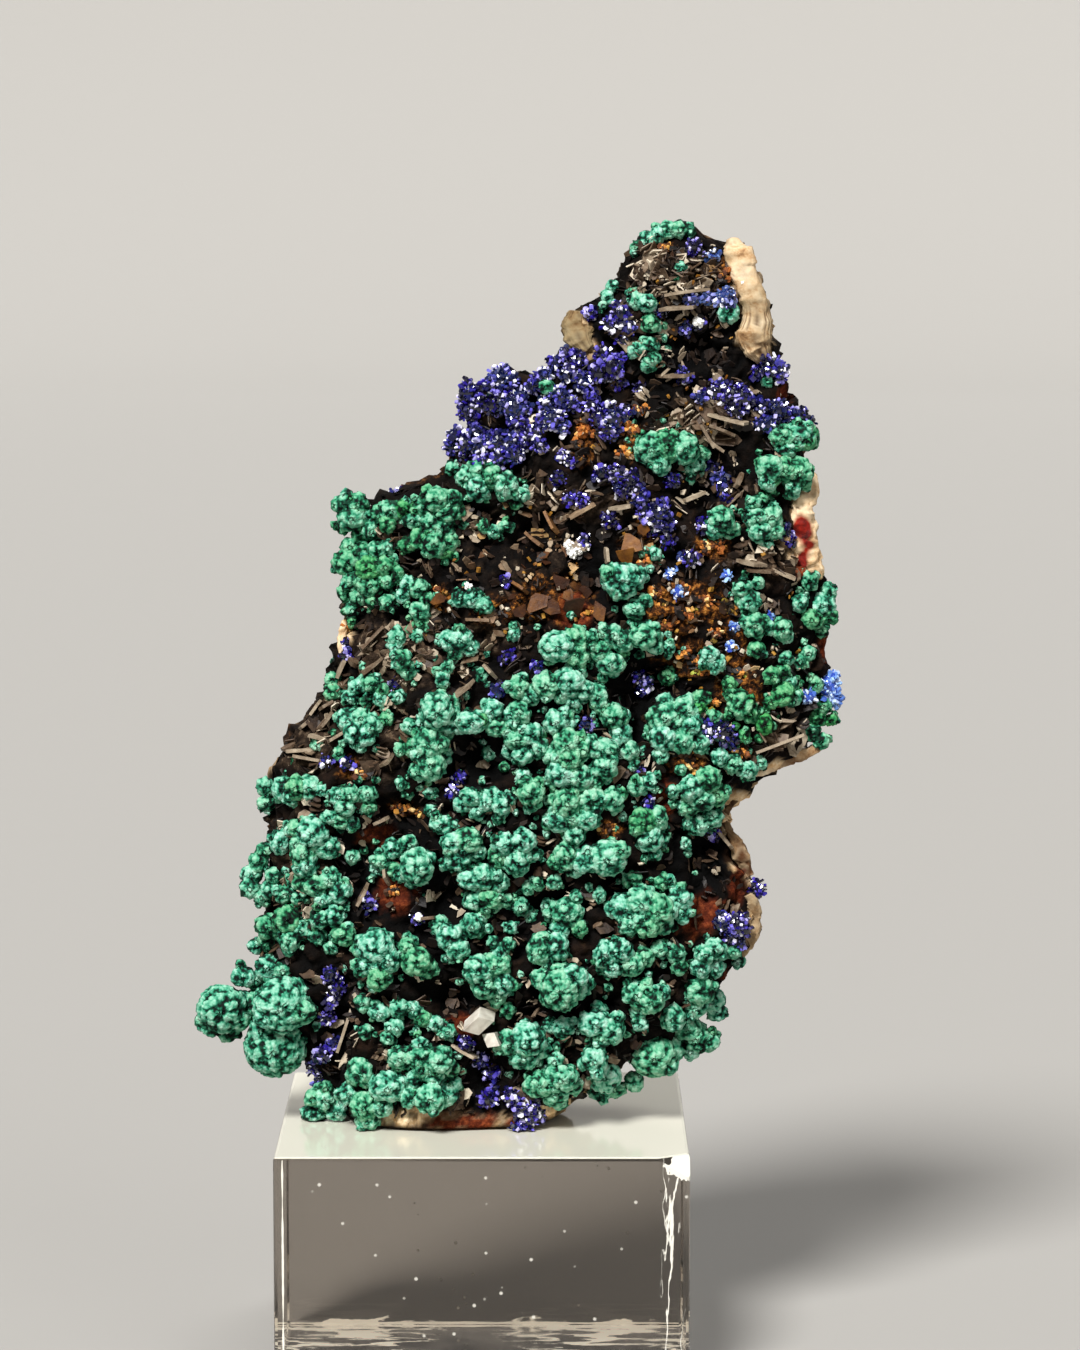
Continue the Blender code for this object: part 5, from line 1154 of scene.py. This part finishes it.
# clusters of small crystals: x, z and radius
azuriteGroups = {
    "knob_left": [
        (10.0, 98.3, 0.6), (12.7, 98.3, 0.8), (11.8, 97.3, 0.7), (13.6, 97.0, 0.7), (12.9, 95.9, 0.6),
    ],
    "knob": [
        (19.3, 99.6, 0.7), (20.6, 99.8, 0.6), (22.4, 99.8, 0.9), (19.5, 104.5, 0.7), (21.3, 103.5, 0.6),
    ],
    "shaft": [
        (18.9, 97.0, 0.7), (16.6, 98.4, 0.5), (20.0, 97.4, 0.5),
    ],
    "upper_left": [
        (8.6, 93.9, 1.1), (7.8, 92.7, 0.7), (11.1, 94.6, 0.8), (12.0, 93.4, 1.0), (10.6, 92.9, 0.9),
        (9.3, 91.9, 0.8), (10.1, 90.8, 0.8), (9.9, 89.8, 0.6), (12.5, 91.8, 0.7), (7.2, 90.7, 1.0),
        (6.1, 90.1, 0.8), (8.3, 90.0, 0.7), (6.4, 88.6, 1.0), (5.1, 87.7, 0.8), (4.2, 87.0, 0.7),
        (7.4, 87.9, 0.6), (6.9, 93.5, 0.8), (5.7, 92.7, 0.7), (4.7, 91.7, 0.8), (3.6, 91.0, 0.6),
    ],
    "left_spur": [
        (1.6, 92.2, 1.2), (2.8, 92.1, 0.7), (-1.2, 90.9, 1.0), (0.1, 91.3, 0.8), (-0.4, 89.6, 1.0),
        (1.2, 89.9, 1.0), (2.7, 89.7, 1.1), (3.9, 89.5, 0.7), (3.3, 88.4, 0.8), (-1.5, 89.1, 0.7),
        (-0.6, 87.4, 0.8), (-2.5, 86.9, 0.8), (-3.0, 85.9, 0.7), (-1.5, 86.0, 1.0), (-0.0, 86.2, 1.0),
        (1.5, 86.5, 1.0), (2.7, 86.6, 0.8), (3.0, 85.4, 0.9), (1.6, 85.1, 0.8), (-0.0, 85.0, 0.8),
        (5.3, 86.3, 0.7), (7.4, 85.4, 0.5), (8.1, 84.8, 0.6), (7.0, 83.2, 0.7),
    ],
    "upper_middle": [
        (10.9, 88.7, 1.0), (12.2, 88.8, 1.0), (11.6, 87.8, 0.9), (13.2, 89.3, 0.6), (14.6, 91.5, 0.5),
    ],
    "middle": [
        (11.1, 83.7, 0.8), (12.3, 83.6, 1.0), (13.5, 82.9, 0.9), (14.4, 82.3, 0.6), (12.9, 81.8, 0.7),
        (14.5, 81.3, 0.8), (8.1, 81.3, 0.7), (9.2, 81.2, 0.6), (15.0, 80.2, 0.8), (16.4, 80.1, 1.1),
        (17.1, 79.0, 0.7), (15.7, 78.7, 0.7), (11.8, 79.5, 0.7), (17.1, 77.4, 0.7), (19.2, 75.9, 0.8),
        (17.5, 83.1, 0.7),
    ],
    "blue_spot": [
        (22.6, 74.2, 0.45), (18.1, 72.7, 0.6), (17.3, 74.4, 0.5),
    ],
    "right_bar": [
        (21.3, 84.1, 0.6), (22.0, 83.1, 0.7), (22.2, 82.1, 0.6), (22.7, 81.2, 0.5), (20.3, 78.8, 0.7),
    ],
    "upper_right": [
        (21.6, 91.1, 0.9), (22.8, 90.9, 1.1), (24.1, 90.6, 1.0), (20.1, 90.6, 0.6), (23.3, 89.7, 0.8),
        (18.7, 92.5, 0.7), (26.6, 93.3, 1.2), (25.4, 92.9, 0.6), (25.9, 89.7, 0.8), (27.2, 89.4, 1.0),
        (28.3, 88.7, 0.8), (26.4, 88.1, 0.8), (29.0, 88.4, 1.0), (30.2, 88.1, 0.7), (25.5, 88.1, 0.6),
        (28.3, 78.0, 0.6), (28.6, 77.3, 0.5),
    ],
    "edge": [
        (32.2, 63.5, 1.1), (32.9, 62.2, 0.7), (30.3, 62.7, 0.7), (23.3, 69.5, 0.45), (23.0, 67.7, 0.5),
        (26.6, 70.4, 0.45),
    ],
    "right_pocket": [
        (22.0, 59.8, 1.1), (20.9, 60.3, 0.7), (23.0, 59.0, 0.7), (9.6, 60.4, 0.6), (14.4, 64.7, 0.7),
        (15.1, 63.8, 0.8), (14.6, 56.1, 0.4), (15.4, 53.2, 0.6), (21.6, 49.6, 0.6),
    ],
    "lower_right": [
        (22.3, 41.5, 0.9), (23.5, 41.4, 1.1), (24.4, 40.7, 0.8), (22.9, 40.2, 0.8), (23.9, 39.3, 0.7),
    ],
    "lower_right_tip": [
        (25.7, 44.2, 0.8),
    ],
    "left_crevice_low": [
        (-14.2, 37.0, 0.7), (-13.6, 35.7, 0.7), (-14.3, 34.5, 0.7), (-14.7, 32.4, 0.7), (-14.0, 30.0, 0.6),
        (-15.1, 29.0, 0.8), (-15.8, 27.2, 0.8), (-15.2, 26.1, 0.7), (-16.3, 28.2, 0.7),
    ],
    "foot": [
        (-1.5, 30.6, 0.7), (-0.3, 28.8, 0.7), (0.7, 27.5, 0.8), (0.3, 25.1, 0.8), (1.4, 25.9, 0.7),
        (2.6, 25.5, 0.8), (3.5, 24.6, 0.8), (4.6, 24.6, 0.8), (4.2, 23.2, 0.9), (3.3, 22.4, 0.7),
        (5.3, 23.7, 0.7),
    ],
    "scattered": [
        (-12.7, 67.6, 0.5), (-12.8, 66.5, 0.6), (-8.1, 63.9, 0.6), (-14.5, 56.8, 0.6), (-12.5, 56.7, 0.6),
        (1.3, 63.6, 0.7), (2.4, 66.9, 0.6), (5.1, 65.9, 0.5), (2.1, 73.7, 0.5), (9.5, 77.5, 0.6),
        (-2.3, 55.2, 0.6), (-2.8, 54.1, 0.6), (-10.7, 43.5, 0.7), (-6.0, 42.3, 0.5),
    ],
}
azuriteLook = {
    "length": (0.28, 0.66), "slim": (0.45, 0.85), "flat": (0.3, 0.6), "perArea": 4.2,
    "rise": 0.6, "swell": 1.05, "core": 0.86,  # the core is this share of the crystals' ball
    "satellites": 1.6, "satelliteSize": (0.4, 0.65), "satelliteReach": (0.7, 1.05),
    "patch": 1.4, "patchTone": 0.2,  # patches of paler crystals
    "pale": {"blue_spot": 0.9, "edge": 1.0, "knob": 0.25}, "stray": 0.3,  # share of paler blue in a group
}

# the same for every crust of crystals
crustLook = {
    "wrap": 1.7,  # how far back from a ball's front pole it carries crystals, in radii: 2 is all of it
    "golden": 2.399963,  # turn from one crystal to the next, which spreads them evenly
    "tilt": 0.15, "spread": 0.35, "sunk": (0.72, 0.98), "coreSpacing": 0.32, "coreUneven": 0.05,
}


def azuriteMaterial():
    # azurite crystals with glassy growth faces: violet-blue in the mass; the palest tones paint lavender and
    # white glints onto some crystals
    material, tree = newMaterial("azuriteCrystal")
    cloud = noise(tree, objectPlace(tree), 1100.0, 3.0)
    tone = mottled(tree, meshValue(tree, "tone"), cloud, 0.2, -0.1)
    # the upper stops, lavender to white, are painted highlights
    deep = ramp(tree, tone, [
        (0.0, "#020114"), (0.4, "#0E0646"), (0.64, "#2A1C90"), (0.79, "#6C60CA"), (0.89, "#B2AAE4"),
        (0.97, "#F4F2FB")])
    light = ramp(tree, tone, [(0.0, "#2C48A8"), (0.3, "#5E86CC"), (0.6, "#98BAE4"), (1.0, "#DEE8F6")])
    colour = blend(tree, meshValue(tree, "pale"), deep, light)
    return finishMaterial(material, {"Base Color": colour, "Roughness": 0.16, "IOR": 1.73})


def crystalTemplate():
    # a slanted four-sided prism, one unit long, with a chisel end to the outside
    side = [(0.5, 0.35), (-0.5, 0.35), (-0.5, -0.35), (0.5, -0.35)]
    points = [(x + 0.25 * y, y, -0.5) for x, y in side] + [(x + 0.25 * y, y, 0.28) for x, y in side]
    points += [(-0.26, 0, 0.5), (0.26, 0, 0.5)]
    quads = [(0, 1, 5, 4), (1, 2, 6, 5), (2, 3, 7, 6), (3, 0, 4, 7)]
    quads += [(3, 2, 1, 0), (4, 5, 8, 9), (6, 7, 9, 8)]  # the root, and the two slopes of the chisel
    return np.array(points), np.array(quads), np.array([(5, 6, 8), (7, 4, 9)])


def crystalCrust(balls, look, rng, facing=1):
    # crystals stood about each ball, from its front most of the way back: long axis near the outward way
    template, quads, triangles = crystalTemplate()
    centres, axes, owner = [], [], []
    for k, ball in enumerate(balls):
        count = max(6, round(4 * math.pi * ball[3] ** 2 * look["perArea"]))
        height = 1 - crustLook["wrap"] * (np.arange(count) + 0.5) / count
        turn = np.arange(count) * crustLook["golden"] + rng.uniform(0, math.tau)
        flat = np.sqrt(1 - height ** 2)
        outward = np.stack([flat * np.cos(turn), -height * facing, flat * np.sin(turn)], axis=1)
        outward += rng.normal(0, crustLook["tilt"], outward.shape)
        centres.append(ball[:3] + outward * ball[3] * rng.uniform(*crustLook["sunk"], (count, 1)))
        axes.append(outward + rng.normal(0, crustLook["spread"], outward.shape))
        owner.append(np.full(count, k))
    centres, axes, owner = np.concatenate(centres), np.concatenate(axes), np.concatenate(owner)
    count = len(centres)
    length = rng.uniform(*look["length"], count)
    width = length * rng.uniform(*look["slim"], count)
    sizes = np.stack([width, width * rng.uniform(*look["flat"], count) / 0.5, length], axis=1)
    frames = turnedTo(axes, rng)
    points = np.einsum("nij,nkj->nki", frames, template[None] * sizes[:, None]) + centres[:, None]
    start = (np.arange(count) * len(template))[:, None, None]
    return (points.reshape(-1, 3), (start + quads).reshape(-1, 4), (start + triangles).reshape(-1, 3),
            np.repeat(owner, len(template)), np.repeat(np.arange(count), len(template)))


def crustWithCore(places, look, rng, behind=False):
    # the crystals, over plain balls that fill the space behind them and are numbered -1
    facing = -1 if behind else 1
    balls = withSatellites(onRock(places, look["rise"], look["swell"], rng, behind), look, rng)
    points, quads, triangles, owner, number = crystalCrust(balls, look, rng, facing)
    cores, spacings = balls * (1, 1, 1, look["core"]), [crustLook["coreSpacing"]] * len(balls)
    middle, _, which, four, three = ballMeshes(cores, spacings, crustLook["coreUneven"], rng, facing)
    start = len(points)
    return (np.concatenate([points, middle]), np.concatenate([quads, four + start]),
            np.concatenate([triangles, three + start]), np.concatenate([owner, which]),
            np.concatenate([number, np.full(len(middle), -1)]))


def makeAzurite():
    look, material, total = azuriteLook, azuriteMaterial(), 0
    groups = azuriteGroups | {"rear": rearPlaces(*rearGrowth["azurite"])}
    for seed, (name, places) in enumerate(groups.items()):
        rng = np.random.default_rng(500 + seed)
        points, quads, triangles, owner, number = crustWithCore(places, look, rng, name == "rear")
        # a random tone per crystal; those at the top of the scale get painted white glints
        tone = rng.uniform(0.0, 1.0, number.max() + 2)[number]
        tone = tone + look["patchTone"] * smoothNoise(points, look["patch"], 520)
        # the cores get the darkest tone, painted shade in the gaps between crystals
        tone[number < 0] = 0.0
        pale = np.clip(look["pale"].get(name, 0.0) + rng.normal(0, 0.15, owner.max() + 1), 0, 1)[owner]
        if name not in look["pale"]:
            pale *= look["stray"]
        points[:, 2] = np.maximum(points[:, 2], lowest)
        total += len(quads) * 2 + len(triangles)
        addPiece("azurite_" + name + "_crystals", points, quads, triangles, material,
                 "azurite_" + name, smooth=False, values={"tone": tone, "pale": pale})
    print("azurite done:", total, "triangles")


makeAzurite()


# earthy orange lumps: x, z and radius
ochreGroups = {
    "crest": [
        (17.1, 104.3, 0.6), (22.1, 101.9, 0.6),
    ],
    "upper": [
        (9.3, 87.7, 0.8), (8.8, 86.2, 0.6), (9.1, 85.0, 0.5), (13.8, 87.6, 0.8), (13.3, 85.4, 0.6),
        (14.8, 89.3, 0.6),
    ],
    "saddle": [
        (15.2, 75.6, 0.5), (20.6, 76.7, 0.7), (21.9, 77.1, 0.7),
    ],
    "middle": [
        (-3.9, 72.3, 0.5), (9.5, 70.6, 0.4), (16.1, 72.6, 0.7), (16.4, 71.2, 0.6), (16.9, 69.7, 0.7),
        (19.2, 71.0, 0.6), (18.7, 73.1, 0.6), (20.6, 72.1, 0.7), (21.6, 71.6, 0.6), (22.9, 71.2, 0.6),
        (21.8, 68.9, 0.6),
    ],
    "field": [
        (18.9, 67.0, 0.6), (19.9, 66.3, 0.6), (20.7, 65.4, 0.7), (23.8, 65.2, 0.6), (21.6, 62.4, 0.5),
        (25.0, 62.8, 0.6), (23.7, 57.9, 0.6),
    ],
    "low": [
        (19.2, 56.9, 0.9), (12.0, 50.8, 0.7), (-12.9, 69.2, 0.5), (-11.6, 55.9, 0.6), (-7.7, 52.4, 0.6),
        (-5.8, 52.0, 0.6), (-8.3, 44.8, 0.6),
    ],
}

ochreLook = {
    "length": (0.25, 0.6), "slim": (0.6, 1.0), "flat": (0.4, 0.55), "perArea": 3.4,
    "rise": 0.2, "swell": 0.8, "core": 0.75,
    "satellites": 4, "satelliteSize": (0.3, 0.6), "satelliteReach": (0.9, 1.9),
    # share of the lumps that are dusted with lime green, and how green in a group and elsewhere
    "limeShare": 0.25, "lime": {"middle": 0.9, "field": 0.9}, "dullLime": 0.3,
}


def ochreMaterial():
    # earthy limonite crumbs, weathered: dull orange to red-brown with yellow dust
    material, tree = newMaterial("limoniteOchre")
    dust = noise(tree, objectPlace(tree), 1300.0, 5.0, 0.7)
    tone = mottled(tree, meshValue(tree, "tone"), dust, 0.9, -0.45)
    colour = ramp(tree, tone, [
        (0.0, "#120803"), (0.3, "#54290C"), (0.55, "#A85C1C"), (0.8, "#D8923E"), (1.0, "#EBC888")])
    colour = tinted(tree, meshValue(tree, "lime"), colour, "#9CE07A")
    return finishMaterial(material, {"Base Color": colour, "Normal": bumps(tree, dust, 0.15, 0.8),
                                     "Roughness": 0.8})


def makeOchre():
    look, material = ochreLook, ochreMaterial()
    for seed, (name, places) in enumerate(ochreGroups.items()):
        rng = np.random.default_rng(700 + seed)
        points, quads, triangles, owner, number = crustWithCore(places, look, rng)
        tone = np.clip(rng.normal(0.5, 0.28, number.max() + 2), 0, 1)[number]
        limy = (rng.uniform(0, 1, owner.max() + 1) < look["limeShare"])[owner]
        addPiece("ochre_" + name + "_crumbs", points, quads, triangles, material, smooth=False,
                 values={"tone": tone, "lime": limy * look["lime"].get(name, look["dullLime"])})


makeOchre()
print("ochre done")


calciteLook = {
    "slant": 0.26, "softened": 0.07,
    # x, y, z of the middle, edge, turns about X, Y and Z in degrees
    "rhombs": [(-0.3, -9.6, 33.0, 1.9, (20, 38, 30)), (0.9, -9.4, 31.2, 1.5, (-25, 15, 60))],
}


def calciteMaterial():
    # calcite cleaved to rhombs: milky, part see-through, with a glassy face
    material, tree = newMaterial("calciteCleaved")
    cloud = noise(tree, objectPlace(tree), 900.0, 3.0)
    return finishMaterial(material, {
        "Base Color": ramp(tree, cloud, [(0.3, "#B9AEA0"), (0.6, "#E8E0D2"), (0.8, "#F7F3EA")]),
        "Roughness": 0.18, "IOR": 1.6, "Transmission Weight": 0.25})


def turnMatrix(degrees):
    # turns about X, then Y, then Z
    whole = np.identity(3)
    for angle, (a, b) in zip(np.radians(degrees), ((1, 2), (2, 0), (0, 1))):
        one = np.identity(3)
        one[a, a] = one[b, b] = math.cos(angle)
        one[a, b], one[b, a] = -math.sin(angle), math.sin(angle)
        whole = one @ whole
    return whole


def makeCalcite():
    # each rhomb is a cube of corners -1 and 1 slanted along its body diagonal; edges are cut back a little
    corner = np.array([(x, y, z) for x in (-1, 1) for y in (-1, 1) for z in (-1, 1)], float)
    faces = np.array([(0, 1, 3, 2), (4, 6, 7, 5), (0, 4, 5, 1), (2, 3, 7, 6), (0, 2, 6, 4), (1, 5, 7, 3)])
    slant = np.full((3, 3), calciteLook["slant"]) + np.identity(3) * (1 - calciteLook["slant"])
    points, quads = [], []
    for k, (x, y, z, edge, turns) in enumerate(calciteLook["rhombs"]):
        points.append(corner * edge / 2 @ slant.T @ turnMatrix(turns).T + (x, y, z))
        quads.append(faces + 8 * k)
    piece = addPiece("calcite_rhombs", np.concatenate(points), np.concatenate(quads), [], calciteMaterial(),
                     "calcite", smooth=False)
    soften = piece.modifiers.new("softened edges", "BEVEL")
    soften.width, soften.segments = calciteLook["softened"] * mm, 2


# small white crystals: x, z and radius
calciteGrains = [
    (8.0, 76.9, 0.45), (8.9, 76.6, 0.4), (8.4, 76.2, 0.35), (9.6, 76.8, 0.3), (20.0, 97.5, 0.4),
    (5.3, 86.2, 0.25), (-6.0, 42.5, 0.3), (14.5, 64.9, 0.25), (-1.3, 73.3, 0.3), (24.0, 101.0, 0.25),
    (13.1, 82.3, 0.25),
]

grainLook = {"length": (0.25, 0.55), "slim": (0.6, 1.0), "flat": (0.4, 0.6), "perArea": 6.0, "rise": 2.4}


def grainMaterial():
    # white crystals: opaque and clean, faces that flash
    material, _ = newMaterial("calciteGrains")
    return finishMaterial(material, {"Base Color": toLinear("#F8F6F1"), "Roughness": 0.12})


def makeGrains():
    # specks of white crystals sprinkled over the azurite and the plates
    rng = np.random.default_rng(900)
    balls = onRock(calciteGrains, grainLook["rise"], 1.0, rng)
    points, quads, triangles, _, _ = crystalCrust(balls, grainLook, rng)
    addPiece("calcite_grains", points, quads, triangles, grainMaterial(), smooth=False)


makeCalcite()
makeGrains()
print("calcite done")


blockLook = {
    "clear": "#F6F3EE", "tint": "#C0B8AF", "density": 52.0,  # the tint holds back over half the light
    "top": "#D3CFBF", "topEnds": (22.05, 22.12),  # heights between which the pale top begins
    "chip": "#DCD8CB", "specks": 420.0, "speckSize": (0.095, 0.04),  # specks 2.4 mm apart
    # painted glow of the chips, emitted light standing in for light gathered inside the block: strength near
    # its foot, above that, and between which heights
    "paintedGlow": 1.6, "paintedGlowAbove": 0.1, "paintedGlowEnds": (0.5, 2.0),
    # cracked edges: weight of each axis, middle of the cracks, reach, breadth, crack lines to the metre
    "cracked": [
        ((1, 1, 0), (17.5, -19.05, 0), 1.3, 0.028, (420, 420, 75)),
        ((1, 1, 0), (-18.2, -19.05, 0), 0.11, 0.2, (300, 300, 200)),
        ((0.1, 0.06, 1), (-1.4, 1.05, 0), 1.1, 0.09, (90, 260, 260)),
        ((0.1, 0.06, 1), (1.2, 1.05, 0), 1.2, 0.09, (90, 260, 260)),
        ((0, 1, 1), (0, 19.05, 0), 0.3, 0.3, (90, 260, 260)),
        ((1, 1, 1), (19.05, -19.05, 22.2), 2.7, 0.35, (500, 500, 500)),
    ],
    "crackDepth": 0.012,
}


def crackLines(tree, place, axes, point, reach, breadth, stretch):
    # thin wavy lines, 0 to 1, about a point or an edge: where a noise passes its middle value
    flat = addNode(tree, "VectorMath", {"operation": "MULTIPLY"}, {0: place, 1: axes}).outputs[0]
    middle = [v * mm for v in point]
    far = addNode(tree, "VectorMath", {"operation": "DISTANCE"}, {0: flat, 1: middle}).outputs["Value"]
    near = mapped(tree, far, 0.0, reach * mm, breadth, 0.0)
    drawn = addNode(tree, "VectorMath", {"operation": "MULTIPLY"}, {0: place, 1: stretch}).outputs[0]
    crest = sums(tree, "ABSOLUTE", sums(tree, "SUBTRACT", noise(tree, drawn, 1.0, 5.0), 0.5))
    return mapped(tree, sums(tree, "SUBTRACT", near, crest), 0.0, blockLook["crackDepth"], 0.0, 0.95)


def acrylicMaterial():
    # cast acrylic, sawn and polished: clear with a smoky depth, chips on its edges that carry a painted
    # glow, a pale glossy top
    look = blockLook
    material, tree = newMaterial("acrylicPolished")
    place = objectPlace(tree)
    scuffs = noise(tree, place, 160.0, 6.0, 0.6)
    clear = addNode(tree, "BsdfPrincipled", inputs={
        "Base Color": toLinear(look["clear"]), "Roughness": mapped(tree, scuffs, 0.45, 0.8, 0.02, 0.12),
        "IOR": 1.49, "Transmission Weight": 1.0})
    chips = mapped(tree, scattered(tree, place, look["specks"]), *look["speckSize"], 0.0, 0.6)
    for crack in look["cracked"]:
        chips = sums(tree, "MAXIMUM", chips, crackLines(tree, place, *crack))
    height = addNode(tree, "SeparateXYZ", inputs={0: place}).outputs[2]
    low, high = (v * mm for v in look["paintedGlowEnds"])
    # painted glow: the chips emit light, brightest near the foot
    white = addNode(tree, "BsdfPrincipled", inputs={
        "Base Color": toLinear(look["chip"]), "Roughness": 0.5, "Emission Color": toLinear(look["chip"]),
        "Emission Strength": mapped(tree, height, low, high, look["paintedGlow"], look["paintedGlowAbove"])})
    paint = addNode(tree, "BsdfPrincipled", inputs={"Base Color": toLinear(look["top"]), "Roughness": 0.12})
    low, high = (v * mm for v in look["topEnds"])
    top = mapped(tree, height, low, high, 0.0, 1.0)
    chipped = addNode(tree, "MixShader", inputs={0: chips, 1: clear.outputs[0], 2: white.outputs[0]})
    painted = addNode(tree, "MixShader", inputs={0: top, 1: chipped.outputs[0], 2: paint.outputs[0]})
    smoke = addNode(tree, "VolumeAbsorption", inputs={
        "Color": toLinear(look["tint"]), "Density": look["density"]})
    addNode(tree, "OutputMaterial", inputs={"Surface": painted.outputs[0], "Volume": smoke.outputs[0]})
    return material


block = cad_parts["display_block"]
block.data.materials[0] = acrylicMaterial()
print("block done")


# a sheet of paper turned about the middle: flat, then bent up into a wall all round
stageLook = {
    "hub": 20, "flat": 1400, "bend": 500, "rise": 500, "around": 96, "bendRows": 16,
    "under": 0.02,  # below the block, so that the two faces don't meet
    "paper": "#97948F",
}

# far softboxes: degrees above the floor, degrees round from the front, degrees across, strength
suns = {"key": (46, -22, 18, 5.6), "fill": (36, 42, 30, 0.4), "back": (55, 160, 30, 1.2)}
skyLook = {"colour": "#F2F2F2", "strength": 0.2}

cameraLook = {"lens": 129.0, "film": 36.0, "place": (5.33, -451.4, 120.9), "down": 7.161}  # down in degrees


def paperMaterial():
    # matt seamless paper
    material, _ = newMaterial("paperMatt")
    return finishMaterial(material, {"Base Color": toLinear(stageLook["paper"]), "Roughness": 0.9})


def makeFloor():
    look, bend = stageLook, np.linspace(0, math.pi / 2, stageLook["bendRows"])
    reach = np.concatenate([[look["hub"]], look["flat"] + look["bend"] * np.sin(bend)])
    height = np.concatenate([[0.0], look["bend"] * (1 - np.cos(bend))])
    reach, height = np.append(reach, reach[-1]), np.append(height, look["rise"])
    turn = math.tau * np.arange(look["around"]) / look["around"]
    points = np.stack([np.outer(reach, np.cos(turn)), np.outer(reach, np.sin(turn)),
                       np.outer(height, np.ones(len(turn)))], axis=-1).reshape(-1, 3)
    middle, ring = len(points), np.arange(len(turn))
    hub = np.stack([0 * ring + middle, ring, (ring + 1) % len(turn)], axis=1)
    floor = addMesh("paper floor", np.concatenate([points, [(0, 0, 0)]]),
                    gridFaces(len(reach), len(turn))[:, ::-1], hub, paperMaterial())
    floor.location.z = -look["under"] * mm


def makeLights():
    for name, (elevation, turn, across, strength) in suns.items():
        data = bpy.data.lights.new(name, "SUN")
        data.angle, data.energy = math.radians(across), strength
        light = bpy.data.objects.new(name, data)
        light.rotation_euler = (math.radians(90 - elevation), 0, math.radians(turn))
        bpy.context.scene.collection.objects.link(light)
    world = bpy.data.worlds.new("studio")
    world.use_nodes = True
    background = world.node_tree.nodes["Background"].inputs
    background["Color"].default_value = toLinear(skyLook["colour"])
    background["Strength"].default_value = skyLook["strength"]
    bpy.context.scene.world = world


def makeCamera():
    data = bpy.data.cameras.new("camera")
    data.lens, data.sensor_width = cameraLook["lens"], cameraLook["film"]
    camera = bpy.data.objects.new("camera", data)
    camera.location = [v * mm for v in cameraLook["place"]]
    camera.rotation_euler = (math.radians(90 - cameraLook["down"]), 0, 0)
    bpy.context.scene.collection.objects.link(camera)
    bpy.context.scene.camera = camera


makeFloor()
makeLights()
makeCamera()
bpy.context.scene.view_settings.view_transform = "Standard"
print("stage done")
